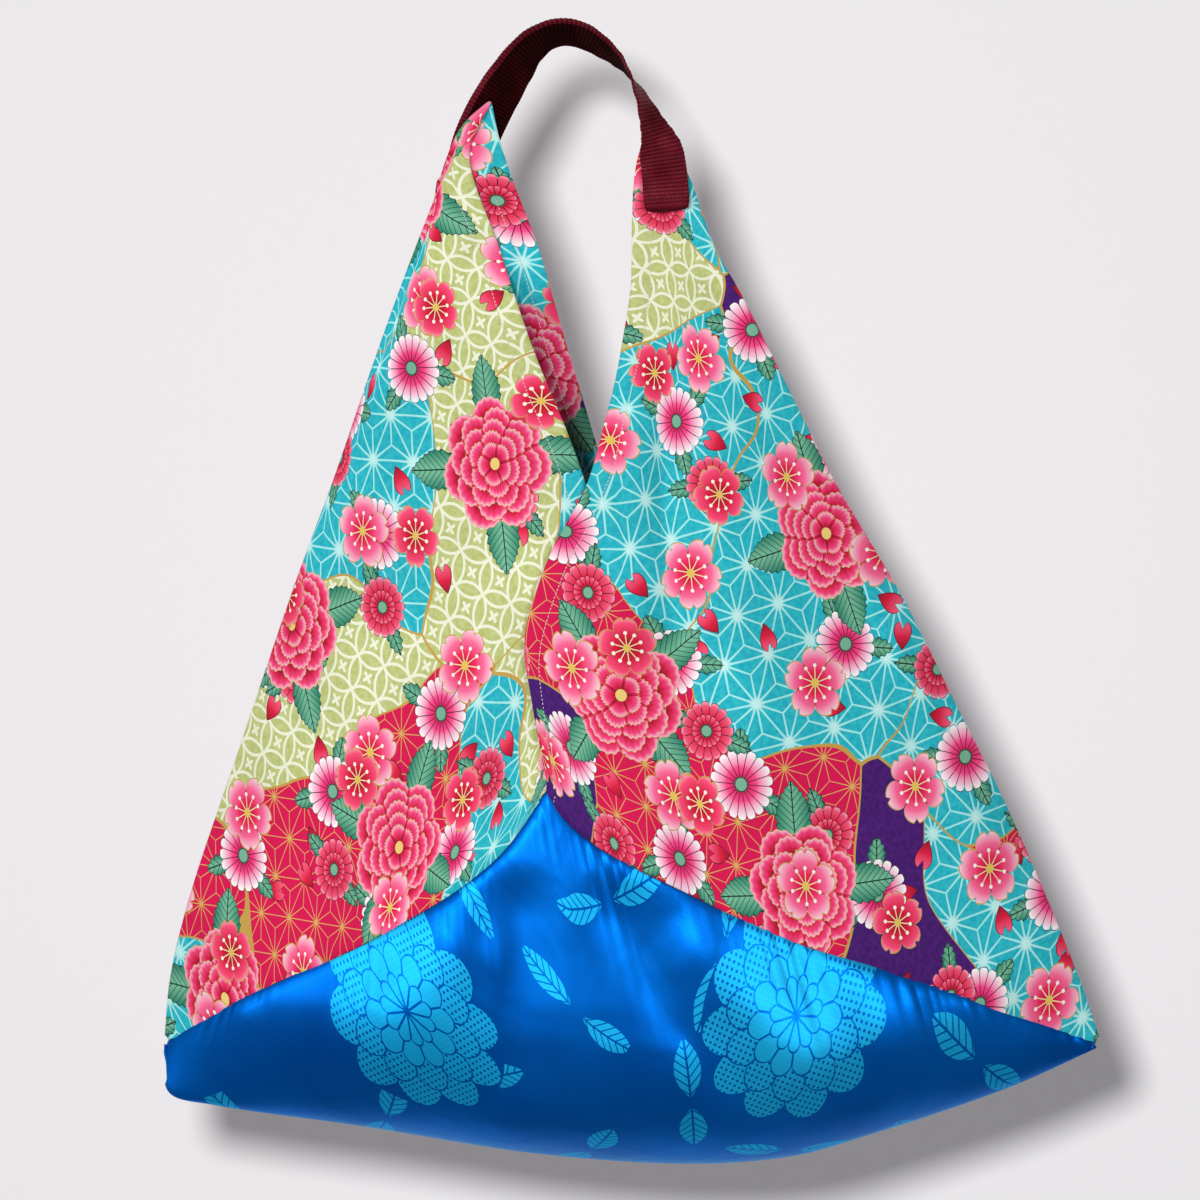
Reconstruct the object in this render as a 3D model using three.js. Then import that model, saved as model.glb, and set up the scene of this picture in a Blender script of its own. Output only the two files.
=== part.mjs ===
// An azuma lunch bag, hanging from its webbing handle.
// Three lined squares of cloth make it: a plain one lies on its diagonal as the base, and a
// printed one wraps each bottom corner, rises to a peak and laps the other at the front and
// back. A strap of webbing with a half twist joins the two peaks.
// Lengths are in millimetres. X runs left to right, Y front to back and Z up.
// The origin is the middle of the handle's crown, on its underside, where a hook would lie.
import * as THREE from "three";

// Driving sizes of the bag
const BAG_WIDTH = 604; // between the two bottom corners
const BAG_HEIGHT = 740; // from the lowest point of the base to the crown of the handle
const BAG_DEPTH = 156; // front to back where the bag is fullest
const KEEL_HEIGHT = 84; // over which the base rounds in to its lowest line
const CLOTH_THICKNESS = 0.8; // of a panel, and of its lining
const PLY_GAP = 0.3; // between a panel and its lining, and between pieces sewn together
const FOLD_GAP = 1.0; // between the two linings where a panel is folded flat
const SEAM_GAP = 0.6; // between two panels sewn edge to edge
const PANEL_LAP = 2.4; // how far a panel shifts near its opening edge to pass the other one
const FOLD_HEIGHT = 5; // of the highest soft fold over the plain form of the cloth
const FOLD_WIDTH = 28; // from the line of the broadest soft fold to each side
const FOLD_CALM_DEPTH = 22; // the folds fade out where half the bag is less deep than this

// Driving sizes of the handle
const STRAP_WIDTH = 30;
const STRAP_THICKNESS = 2;
const STRAP_CHAMFER = 0.6; // of the woven edges of the webbing
const STRAP_TUCK = 20; // length folded under at each sewn end
const HINGE_GAP = 0.4; // in the webbing at the line where it bends above the peaks

// Driving sizes of the sewing
const HEM_WIDTH = 11; // from an opening edge to its line of stitches
const THREAD_WIDTH = 0.7;
const STITCH_INSET = 4; // from the edges of the webbing to the stitches that hold it
const STITCH_LENGTH = 26; // of the sewn rectangle at each end of the webbing

// Outline of the bag as seen from the front, in pixels of a 1200 pixel square picture.
// The height of the picture runs down, so heights are turned over when they become millimetres.
const CROWN_PIXEL = [566, 34];
const TOP_ROW_PIXEL = 21;
const LOWEST_ROW_PIXEL = 1159;
const HINGE_PIXEL = [570, 95];
const LEFT_CORNER_PIXEL = [168, 1041];
const RIGHT_CORNER_PIXEL = [1098, 1043];
const FRONT_APEX_PIXEL = [549, 786];
const BACK_APEX_PIXEL = [675, 786];
const LEFT_PEAK_PIXEL = [492, 104];
const RIGHT_PEAK_PIXEL = [646, 132];
const LEFT_SIDE_PIXELS = [
  LEFT_CORNER_PIXEL,
  [173, 982],
  [191, 904],
  [244, 745],
  [300, 580],
  [337, 480],
  [373, 375],
  [400, 300],
  [425, 234],
  [438, 200],
  [450, 160],
  [466, 128],
  LEFT_PEAK_PIXEL,
];
const RIGHT_SIDE_PIXELS = [
  RIGHT_CORNER_PIXEL,
  [1077, 982],
  [1044, 900],
  [1000, 800],
  [950, 700],
  [900, 600],
  [830, 480],
  [790, 400],
  [740, 299],
  [712, 249],
  [698, 211],
  [687, 180],
  [670, 152],
  RIGHT_PEAK_PIXEL,
];
const LEFT_FRONT_SEAM_PIXELS = [
  LEFT_CORNER_PIXEL,
  [238, 1000],
  [336, 953],
  [407, 918],
  [463, 884],
  [505, 849],
  [533, 812],
  FRONT_APEX_PIXEL,
];
const RIGHT_FRONT_SEAM_PIXELS = [
  RIGHT_CORNER_PIXEL,
  [1036, 1022],
  [914, 976],
  [781, 931],
  [689, 888],
  [600, 842],
  [565, 812],
  FRONT_APEX_PIXEL,
];
const LEFT_BACK_SEAM_PIXELS = [
  LEFT_CORNER_PIXEL,
  [231, 1022],
  [337, 976],
  [458, 931],
  [540, 888],
  [623, 842],
  [660, 812],
  BACK_APEX_PIXEL,
];
const RIGHT_BACK_SEAM_PIXELS = [
  RIGHT_CORNER_PIXEL,
  [1031, 1000],
  [920, 953],
  [838, 918],
  [767, 884],
  [721, 849],
  [691, 812],
  BACK_APEX_PIXEL,
];
const LEFT_FRONT_OPENING_PIXELS = [
  FRONT_APEX_PIXEL,
  [585, 735],
  [607, 660],
  [606, 560],
  [583, 477],
  [530, 341],
  [500, 250],
  [470, 155],
  LEFT_PEAK_PIXEL,
];
const LEFT_BACK_OPENING_PIXELS = [
  BACK_APEX_PIXEL,
  [648, 660],
  [625, 550],
  [597, 448],
  [567, 348],
  [538, 247],
  [511, 176],
  [499, 137],
  LEFT_PEAK_PIXEL,
];
const RIGHT_FRONT_OPENING_PIXELS = [
  FRONT_APEX_PIXEL,
  [533, 700],
  [526, 640],
  [549, 560],
  [588, 484],
  [608, 410],
  [622, 345],
  [631, 285],
  [632, 215],
  [636, 165],
  RIGHT_PEAK_PIXEL,
];
const RIGHT_BACK_OPENING_PIXELS = [
  BACK_APEX_PIXEL,
  [620, 740],
  [596, 660],
  [594, 560],
  [618, 477],
  [640, 390],
  [648, 300],
  [650, 215],
  [649, 165],
  RIGHT_PEAK_PIXEL,
];
const BOTTOM_PIXELS = [
  LEFT_CORNER_PIXEL,
  [168, 1066],
  [180, 1090],
  [218, 1101],
  [365, 1122],
  [538, 1149],
  [694, LOWEST_ROW_PIXEL],
  [794, 1151],
  [863, 1132],
  [1006, 1084],
  RIGHT_CORNER_PIXEL,
];

// Middle line of the webbing from its left end to its right end, on its underside.
const STRAP_PIXELS = [
  [468, 188],
  [473, 150],
  [485, 120],
  [500, 93],
  [515, 70],
  [531, 49],
  [549, 37],
  CROWN_PIXEL,
  [583, 38],
  [600, 48],
  [615, 60],
  [626, 73],
  [640, 97],
  [649, 118],
  [653, 128],
  [657, 138],
  [660, 148],
  [662, 158],
  [665, 180],
  [667, 206],
];
// How far the webbing's width has turned at each of these, as shares of a half turn.
const STRAP_TURN_SHARES = [
  0, 0, 0.044, 0.111, 0.189, 0.267, 0.317, 0.333, 0.344, 0.378, 0.428, 0.489, 0.583, 0.656, 0.711,
  0.778, 0.872, 0.944, 1, 1,
];

// Half depth of the bag by height, as shares of the depth at the middle of the bag.
const DEPTH_ROW_PIXELS = [0, 265, 300, 400, 500, 600, 700, 800, 900, 1000, 1200];
const DEPTH_SHARES = [0, 0, 0.09, 0.32, 0.51, 0.66, 0.79, 0.89, 0.96, 1, 1];
const EDGE_POWER = 2.4; // higher keeps the depth further towards the two side folds
const EDGE_ROUNDNESS = 0.9;
// The main folds of the front. Each line gives a fold's height as a share of the highest fold,
// negative where it sinks in, and its half widths to the left and right as shares of the
// broadest one, and runs through the pixels of the same place in the list below.
const FOLD_SHARES = [
  [1, 0.5, 0.8],
  [-0.85, 0.6, 0.6],
  [0.7, 0.7, 1],
  [-0.65, 1, 1],
  [0.65, 1, 0.9],
  [-0.65, 0.9, 1],
  [-1, 0.8, 0.8],
  [0.9, 0.9, 1],
  [1, 1, 1],
  [-1, 0.8, 0.8],
];
const FOLD_PIXELS = [
  [[640, 300], [624, 400], [622, 480], [627, 580], [616, 660], [600, 740]],
  [[655, 330], [662, 480], [668, 600], [688, 700], [690, 860]],
  [[690, 330], [712, 480], [738, 640], [752, 780], [760, 900]],
  [[730, 350], [790, 500], [850, 660], [900, 800], [930, 940]],
  [[470, 230], [424, 400], [396, 580], [374, 740], [360, 900]],
  [[492, 280], [474, 420], [458, 580], [448, 740], [440, 870]],
  [[596, 860], [640, 930], [690, 1010], [740, 1100]],
  [[668, 900], [722, 970], [780, 1040], [826, 1110]],
  [[490, 890], [444, 960], [414, 1030], [396, 1100]],
  [[536, 850], [518, 930], [508, 1020], [520, 1120]],
];
const FOLD_ENDS_SHARE = 0.25; // of a fold's line, over which it rises from nothing at each end
// The folded peaks lie beside the webbing down to the first row, and in line below the second.
const PEAK_ROW_PIXELS = [268, 420];
// The lap shift grows between these shares of a panel's square, counted from its corner.
const LAP_START_SHARE = 0.5;
const LAP_END_SHARE = 0.8;

// Numbers of steps along each piece
const SIDE_STEPS = 15; // from a bottom corner to an opening edge
const RISE_STEPS = 14; // from a seam to a side fold, closer together towards the peak
const RISE_POWER = 1.3;
const KEEL_STEPS = 8; // from a seam to the lowest line
const STRAP_STEPS = 34; // over the arch of the webbing
const STRAP_END_STEPS = 12; // from the hinge line to each end of the webbing
const TURN_STEPS = 6; // round the fold at each end of the webbing
const THREAD_SHORT_STEPS = 3; // of a panel's rise, left without hem stitches below its peak
const STITCH_STEPS = 5; // along each long side of the sewn rectangle on the webbing
const CORNER_SHARE = 0.015; // of a square's side, left open at each sewn corner

// How finely curves are measured
const FOLD_STEPS = 60;
const LENGTH_STEPS = 400;
const SEARCH_STEPS = 1000;
const HALVING_STEPS = 24;
const NORMAL_REACH_SHARE = 0.004; // to each side of a place whose normal is taken

// Sizes that follow from the driving ones
const ACROSS_PER_PIXEL = BAG_WIDTH / (RIGHT_CORNER_PIXEL[0] - LEFT_CORNER_PIXEL[0]);
const UP_PER_PIXEL = BAG_HEIGHT / (LOWEST_ROW_PIXEL - TOP_ROW_PIXEL);
const BACK_MIRROR_X = place(LEFT_CORNER_PIXEL).x + place(RIGHT_CORNER_PIXEL).x;
const SQUARE_SIDE = BAG_WIDTH / Math.SQRT2;
const LINING_FROM_FOLD = FOLD_GAP / 2;
const PANEL_FROM_FOLD = LINING_FROM_FOLD + CLOTH_THICKNESS + PLY_GAP;
const STACK_HALF = PANEL_FROM_FOLD + CLOTH_THICKNESS;
const TUCK_GAP = PLY_GAP;
const PEAK_OFFSET = TUCK_GAP + STRAP_THICKNESS + PLY_GAP + STACK_HALF;

// One picture pixel as a point in the plane through the middle of the bag.
function place([column, row]) {
  const x = (column - CROWN_PIXEL[0]) * ACROSS_PER_PIXEL;
  const z = (CROWN_PIXEL[1] - row) * UP_PER_PIXEL;
  return new THREE.Vector3(x, 0, z);
}

// A smooth curve through pixels, read by the share of its length.
function outline(pixels) {
  const curve = new THREE.CatmullRomCurve3(pixels.map(place), false, "centripetal");
  curve.arcLengthDivisions = LENGTH_STEPS;
  return curve;
}

const leftSide = outline(LEFT_SIDE_PIXELS);
const rightSide = outline(RIGHT_SIDE_PIXELS);
const bottomLine = outline(BOTTOM_PIXELS);

// Where a curve that rises or falls steadily passes a height, found by halving.
function acrossAtHeight(curve, z) {
  let low = 0;
  let high = 1;
  const rises = curve.getPoint(1).z > curve.getPoint(0).z;
  for (let i = 0; i < HALVING_STEPS;i += 1) {
    const middle = (low + high) / 2;
    if (curve.getPoint(middle).z < z === rises) low = middle;
    else high = middle;
  }
  return curve.getPoint(low).x;
}

// Height of the bottom line below a place across the bag.
const bottomPoints = bottomLine.getPoints(LENGTH_STEPS);
function bottomBelow(x) {
  let lowest = bottomPoints[0].z;
  for (let i = 1; i < bottomPoints.length; i += 1) {
    const a = bottomPoints[i - 1];
    const b = bottomPoints[i];
    if ((a.x - x) * (b.x - x) > 0 || a.x === b.x) continue;
    lowest = THREE.MathUtils.lerp(a.z, b.z, (x - a.x) / (b.x - a.x));
  }
  return lowest;
}

// The picture row at a height.
const rowAt = (z) => CROWN_PIXEL[1] - z / UP_PER_PIXEL;

// A value from a table by picture row, straight between its rows.
function byRow(rows, values, z) {
  const row = rowAt(z);
  if (row <= rows[0]) return values[0];
  for (let i = 1; i < rows.length; i += 1) {
    if (row > rows[i]) continue;
    const share = (row - rows[i - 1]) / (rows[i] - rows[i - 1]);
    return THREE.MathUtils.lerp(values[i - 1], values[i], share);
  }
  return values[values.length - 1];
}

// From 0 above the first row to 1 below the second, eased.
const smoothByRow = (rows, z) => THREE.MathUtils.smoothstep(rowAt(z), rows[0], rows[1]);

// Half the bag's depth at a place in its outline: full at the middle, none at the side folds
// and at the bottom line.
const cornerHeight = Math.max(place(LEFT_CORNER_PIXEL).z, place(RIGHT_CORNER_PIXEL).z);
function halfDepth(x, z) {
  const level = Math.max(z, cornerHeight);
  const left = acrossAtHeight(leftSide, level);
  const right = acrossAtHeight(rightSide, level);
  const fromMiddle = Math.min(1, Math.abs((2 * x - left - right) / (right - left)));
  const edge = Math.pow(1 - Math.pow(fromMiddle, EDGE_POWER), EDGE_ROUNDNESS);
  const rise = Math.min(1, Math.max(0, z - bottomBelow(x)) / KEEL_HEIGHT);
  const keel = Math.sqrt(1 - (1 - rise) * (1 - rise));
  return (BAG_DEPTH / 2) * byRow(DEPTH_ROW_PIXELS, DEPTH_SHARES, z) * edge * keel;
}

// How far the folds stand out of the front at a place in the outline. The back is the front
// turned half round, so its columns count from the other corner.
const foldLines = FOLD_SHARES.map(([heightShare, leftShare, rightShare], i) => ({
  height: heightShare * FOLD_HEIGHT,
  leftWidth: leftShare * FOLD_WIDTH,
  rightWidth: rightShare * FOLD_WIDTH,
  points: outline(FOLD_PIXELS[i]).getPoints(FOLD_STEPS),
}));
function foldHeight(x, z, onFront) {
  const spot = new THREE.Vector3(onFront ? x : BACK_MIRROR_X - x, 0, z);
  let total = 0;
  for (const { height, leftWidth, rightWidth, points } of foldLines) {
    let least = Infinity;
    let nearest = 0;
    for (let i = 0; i < points.length; i += 1) {
      const distance = points[i].distanceTo(spot);
      if (distance >= least) continue;
      least = distance;
      nearest = i;
    }
    const share = nearest / FOLD_STEPS;
    const ends = THREE.MathUtils.smoothstep(Math.min(share, 1 - share), 0, FOLD_ENDS_SHARE);
    const width = spot.x < points[nearest].x ? leftWidth : rightWidth;
    total += height * ends * Math.exp(-((least / width) ** 2));
  }
  return total * THREE.MathUtils.smoothstep(halfDepth(x, z), 0, FOLD_CALM_DEPTH);
}

// How far the cloth lies in front of or behind the middle plane of the bag.
const clothDepth = (x, z, onFront) => halfDepth(x, z) + foldHeight(x, z, onFront);

// One half, front or back, of a printed panel that is folded along its diagonal.
// along runs from the bottom corner to the opening edge, and rise from the seam to the fold.
function panelHalf({ seam, side, opening, toFront, peakTo }) {
  const apex = seam.getPoint(1);
  const peak = side.getPoint(1);
  return (along, rise) => {
    const low = seam.getPointAt(along);
    const high = side.getPointAt(along);
    const spot = low.lerp(high, rise);
    const chord = apex.clone().lerp(peak, rise);
    const bow = opening.getPointAt(rise).sub(chord);
    spot.addScaledVector(bow, along * along * along);
    spot.z += (SEAM_GAP / 2) * (1 - rise);
    const depth = clothDepth(spot.x, spot.z, toFront);
    const lapped = THREE.MathUtils.smoothstep(along, LAP_START_SHARE, LAP_END_SHARE);
    const beside = 1 - smoothByRow(PEAK_ROW_PIXELS, spot.z);
    const shift = -PANEL_LAP * lapped * (1 - beside) + PEAK_OFFSET * beside;
    spot.y = (toFront ? -depth : depth) + peakTo * shift;
    return spot;
  };
}

// The unit normal of a surface of two shares, pointing to the given side of it.
function normalOf(surface, u, v, outward) {
  const u0 = Math.max(0, u - NORMAL_REACH_SHARE);
  const u1 = Math.min(1, u + NORMAL_REACH_SHARE);
  const v0 = Math.max(0, v - NORMAL_REACH_SHARE);
  const v1 = Math.min(1, v + NORMAL_REACH_SHARE);
  const alongU = surface(u1, v).sub(surface(u0, v));
  const alongV = surface(u, v1).sub(surface(u, v0));
  const normal = alongU.cross(alongV).normalize();
  return normal.dot(outward) < 0 ? normal.negate() : normal;
}

// A closed sheet from a grid of points with normals, between two distances from the grid.
function sheetGeometry(grid, inner, outer, flip) {
  const rows = grid.length;
  const columns = grid[0].length;
  const positions = [];
  for (const distance of [outer, inner]) {
    for (const row of grid) {
      for (const { spot, normal } of row) {
        const corner = spot.clone().addScaledVector(normal, distance);
        positions.push(corner.x, corner.y, corner.z);
      }
    }
  }
  const faces = [];
  const quad = (a, b, c, d) => {
    if (flip) faces.push(a, c, b, a, d, c);
    else faces.push(a, b, c, a, c, d);
  };
  const top = (i, j) => i * columns + j;
  const under = (i, j) => rows * columns + i * columns + j;
  for (let i = 0; i + 1 < rows; i += 1) {
    for (let j = 0; j + 1 < columns; j += 1) {
      quad(top(i, j), top(i, j + 1), top(i + 1, j + 1), top(i + 1, j));
      quad(under(i, j), under(i + 1, j), under(i + 1, j + 1), under(i, j + 1));
    }
  }
  for (let i = 0; i + 1 < rows; i += 1) {
    quad(top(i, 0), top(i + 1, 0), under(i + 1, 0), under(i, 0));
    quad(top(i + 1, columns - 1), top(i, columns - 1), under(i, columns - 1), under(i + 1, columns - 1));
  }
  for (let j = 0; j + 1 < columns; j += 1) {
    quad(top(0, j + 1), top(0, j), under(0, j), under(0, j + 1));
    quad(top(rows - 1, j), top(rows - 1, j + 1), under(rows - 1, j + 1), under(rows - 1, j));
  }
  return indexed(positions, faces);
}

function indexed(positions, faces) {
  const geometry = new THREE.BufferGeometry();
  geometry.setAttribute("position", new THREE.Float32BufferAttribute(positions, 3));
  geometry.setIndex(faces);
  geometry.computeVertexNormals();
  return geometry;
}

const frontward = new THREE.Vector3(0, -1, 0);
const backward = new THREE.Vector3(0, 1, 0);

// How far along a square's side each row of its grid lies, from the corner that it wraps.
const alongShare = (row) => THREE.MathUtils.lerp(CORNER_SHARE, 1, row / SIDE_STEPS);

// How far up from the seam each column of its grid lies.
const riseShare = (column) => 1 - Math.pow(1 - column / RISE_STEPS, RISE_POWER);

// The grid of a printed panel: its front half up to the side fold, round it, and its back half.
function panelGrid(front, back, side, outwardSign) {
  const grid = [];
  for (let i = 0; i <= SIDE_STEPS; i += 1) {
    const along = alongShare(i);
    const row = [];
    for (let j = 0; j <= RISE_STEPS; j += 1) {
      const rise = riseShare(j);
      row.push({ spot: front(along, rise), normal: normalOf(front, along, rise, frontward) });
    }
    const fold = row[RISE_STEPS];
    const backNormal = normalOf(back, along, 1, backward);
    const tangent = side.getTangentAt(along);
    const outward = new THREE.Vector3(outwardSign * tangent.z, 0, -outwardSign * tangent.x);
    const fan = [
      fold.normal.clone().add(outward).normalize(),
      outward,
      backNormal.clone().add(outward).normalize(),
    ];
    for (const normal of fan) row.push({ spot: fold.spot, normal });
    for (let j = RISE_STEPS; j >= 0; j -= 1) {
      const rise = riseShare(j);
      row.push({ spot: back(along, rise), normal: normalOf(back, along, rise, backward) });
    }
    grid.push(row);
  }
  return grid;
}

const leftFrontSeam = outline(LEFT_FRONT_SEAM_PIXELS);
const leftBackSeam = outline(LEFT_BACK_SEAM_PIXELS);
const rightFrontSeam = outline(RIGHT_FRONT_SEAM_PIXELS);
const rightBackSeam = outline(RIGHT_BACK_SEAM_PIXELS);

const leftFront = panelHalf({
  seam: leftFrontSeam,
  side: leftSide,
  opening: outline(LEFT_FRONT_OPENING_PIXELS),
  toFront: true,
  peakTo: -1,
});
const leftBack = panelHalf({
  seam: leftBackSeam,
  side: leftSide,
  opening: outline(LEFT_BACK_OPENING_PIXELS),
  toFront: false,
  peakTo: -1,
});
const rightFront = panelHalf({
  seam: rightFrontSeam,
  side: rightSide,
  opening: outline(RIGHT_FRONT_OPENING_PIXELS),
  toFront: true,
  peakTo: 1,
});
const rightBack = panelHalf({
  seam: rightBackSeam,
  side: rightSide,
  opening: outline(RIGHT_BACK_OPENING_PIXELS),
  toFront: false,
  peakTo: 1,
});

// The base as one surface: across runs from corner to corner, and round from the front seam
// under the bottom line to the back seam.
function baseSurface(across, round) {
  const atLeft = across <= 0.5;
  const share = atLeft ? 2 * across : 2 - 2 * across;
  const onFront = round <= 0.5;
  const reach = onFront ? 1 - 2 * round : 2 * round - 1;
  const frontSeam = atLeft ? leftFrontSeam : rightFrontSeam;
  const backSeam = atLeft ? leftBackSeam : rightBackSeam;
  const seam = onFront ? frontSeam : backSeam;
  const spot = bottomLine.getPointAt(across);
  const top = seam.getPointAt(share);
  top.z -= SEAM_GAP / 2;
  spot.lerp(top, 1 - Math.cos((reach * Math.PI) / 2));
  const depth = clothDepth(spot.x, spot.z, onFront);
  spot.y = onFront ? -depth : depth;
  return spot;
}

function baseGrid() {
  const grid = [];
  for (let i = 0; i <= 2 * SIDE_STEPS; i += 1) {
    const share = alongShare(i <= SIDE_STEPS ? i : 2 * SIDE_STEPS - i) / 2;
    const across = i <= SIDE_STEPS ? share : 1 - share;
    const row = [];
    for (let j = 0; j <= 2 * KEEL_STEPS; j += 1) {
      const round = j / (2 * KEEL_STEPS);
      const spot = baseSurface(across, round);
      const sideways = round < 0.5 ? frontward : backward;
      const outward = round === 0.5 ? new THREE.Vector3(0, 0, -1) : sideways;
      row.push({ spot, normal: normalOf(baseSurface, across, round, outward) });
    }
    grid.push(row);
  }
  return grid;
}

// The webbing: its underside follows one curve while its width turns from the plane of the
// bag, through front to back, and into the plane again.
const strapCurve = outline(STRAP_PIXELS);
const strapTurns = STRAP_TURN_SHARES.map((share) => share * Math.PI);
const strapShares = STRAP_PIXELS.map((pixel) => nearestShare(strapCurve, place(pixel)));

function nearestShare(curve, target) {
  let best = 0;
  let least = Infinity;
  for (let i = 0; i <= SEARCH_STEPS; i += 1) {
    const share = i / SEARCH_STEPS;
    const distance = curve.getPointAt(share).distanceTo(target);
    if (distance >= least) continue;
    least = distance;
    best = share;
  }
  return best;
}

function turnAt(share) {
  for (let i = 1; i < strapShares.length; i += 1) {
    if (share > strapShares[i]) continue;
    const step = THREE.MathUtils.smoothstep(share, strapShares[i - 1], strapShares[i]);
    return THREE.MathUtils.lerp(strapTurns[i - 1], strapTurns[i], step);
  }
  return strapTurns[strapTurns.length - 1];
}

// One place on the webbing: a point of its underside, its direction, its width and its face.
function strapFrame(share) {
  const tangent = strapCurve.getTangentAt(share);
  const inward = new THREE.Vector3(tangent.z, 0, -tangent.x);
  const turn = turnAt(share);
  const width = inward.multiplyScalar(Math.cos(turn)).addScaledVector(backward, Math.sin(turn));
  const face = tangent.clone().cross(width).normalize();
  return { spot: strapCurve.getPointAt(share), tangent, width, face };
}

// Shares of the strap's length at which it passes the hinge line, on the left and the right.
const crownShare = nearestShare(strapCurve, place(CROWN_PIXEL));
function hingeShare(from, to) {
  const height = place(HINGE_PIXEL).z;
  let low = from;
  let high = to;
  for (let i = 0; i < HALVING_STEPS;i += 1) {
    const middle = (low + high) / 2;
    if (strapCurve.getPointAt(middle).z < height) low = middle;
    else high = middle;
  }
  return low;
}
const leftHingeShare = hingeShare(0, crownShare);
const rightHingeShare = hingeShare(1, crownShare);
const hingeGapShare = HINGE_GAP / 2 / strapCurve.getLength();

function strapFrames(from, to, steps) {
  const frames = [];
  for (let i = 0; i <= steps; i += 1) {
    frames.push(strapFrame(THREE.MathUtils.lerp(from, to, i / steps)));
  }
  return frames;
}

// The turned-under end of the webbing after its last frame, in the direction of travel.
function tuckFrames(last) {
  const frames = [];
  const pivot = last.spot.clone().addScaledVector(last.face, -TUCK_GAP / 2);
  for (let i = 1; i <= TURN_STEPS; i += 1) {
    const angle = (Math.PI * i) / TURN_STEPS;
    const face = last.face.clone().multiplyScalar(Math.cos(angle));
    face.addScaledVector(last.tangent, Math.sin(angle));
    const spot = pivot.clone().addScaledVector(face, TUCK_GAP / 2);
    frames.push({ spot, width: last.width, face });
  }
  const turned = frames[frames.length - 1];
  const end = turned.spot.clone().addScaledVector(last.tangent, -STRAP_TUCK);
  frames.push({ spot: end, width: turned.width, face: turned.face });
  return frames;
}

// The section of the webbing, as places across it and out of it: flat faces with chamfered edges.
const strapHalf = STRAP_WIDTH / 2;
const strapFlat = strapHalf - STRAP_CHAMFER;
const strapShoulder = STRAP_THICKNESS - STRAP_CHAMFER;
const strapSection = [
  [-strapHalf, STRAP_CHAMFER],
  [-strapFlat, 0],
  [strapFlat, 0],
  [strapHalf, STRAP_CHAMFER],
  [strapHalf, strapShoulder],
  [strapFlat, STRAP_THICKNESS],
  [-strapFlat, STRAP_THICKNESS],
  [-strapHalf, strapShoulder],
];
const threadHalf = THREAD_WIDTH / 2;
const threadSection = [
  [-threadHalf, -threadHalf],
  [threadHalf, -threadHalf],
  [threadHalf, threadHalf],
  [-threadHalf, threadHalf],
];

// A section carried through frames and closed at both ends, or into a ring.
function sweptGeometry(frames, section, ring = false) {
  const positions = [];
  for (const { spot, width, face } of frames) {
    for (const [across, out] of section) {
      const corner = spot.clone().addScaledVector(width, across).addScaledVector(face, out);
      positions.push(corner.x, corner.y, corner.z);
    }
  }
  const around = section.length;
  const count = frames.length;
  const travel = frames[1].spot.clone().sub(frames[0].spot);
  const ahead = frames[0].width.clone().cross(frames[0].face).dot(travel) > 0;
  const faces = [];
  const triangle = (a, b, c) => faces.push(...(ahead ? [a, c, b] : [a, b, c]));
  for (let i = 0; i < (ring ? count : count - 1); i += 1) {
    const next = (i + 1) % count;
    for (let j = 0; j < around; j += 1) {
      const k = (j + 1) % around;
      triangle(i * around + j, next * around + j, next * around + k);
      triangle(i * around + j, next * around + k, i * around + k);
    }
  }
  for (let j = 1; !ring && j + 1 < around; j += 1) {
    const last = (count - 1) * around;
    triangle(0, j, j + 1);
    triangle(last, last + j + 1, last + j);
  }
  return indexed(positions, faces);
}

// A line of thread on the outside of a panel, one hem's width in from its opening edge and from
// the seam up to the folded peak. It lies on the panel's last two rows.
const HEM_SHARE = 1 - HEM_WIDTH / SQUARE_SIDE;
const onPanel = ({ spot, normal }) => spot.clone().addScaledVector(normal, STACK_HALF);
function hemThread(grid, onFront) {
  const [before, edge] = grid.slice(-2);
  const share = (HEM_SHARE - alongShare(SIDE_STEPS - 1)) / (1 - alongShare(SIDE_STEPS - 1));
  const path = [];
  const lay = (low, high) => {
    const face = low.normal.clone().lerp(high.normal, share).normalize();
    const spot = onPanel(low).lerp(onPanel(high), share);
    path.push({ spot: spot.addScaledVector(face, PLY_GAP + THREAD_WIDTH / 2), face });
  };
  for (let j = 1; j < RISE_STEPS - THREAD_SHORT_STEPS; j += 1) {
    const column = onFront ? j : edge.length - 1 - j;
    const next = onFront ? column + 1 : column - 1;
    lay(before[column], edge[column]);
    lay(before[Math.min(column, next)], edge[Math.max(column, next)]);
  }
  const frames = path.map(({ spot, face }, j) => {
    const ahead = path[Math.min(j + 1, path.length - 1)].spot.clone();
    ahead.sub(path[Math.max(j - 1, 0)].spot);
    return { spot, width: face.clone().cross(ahead).normalize(), face };
  });
  return sweptGeometry(frames, threadSection);
}

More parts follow.
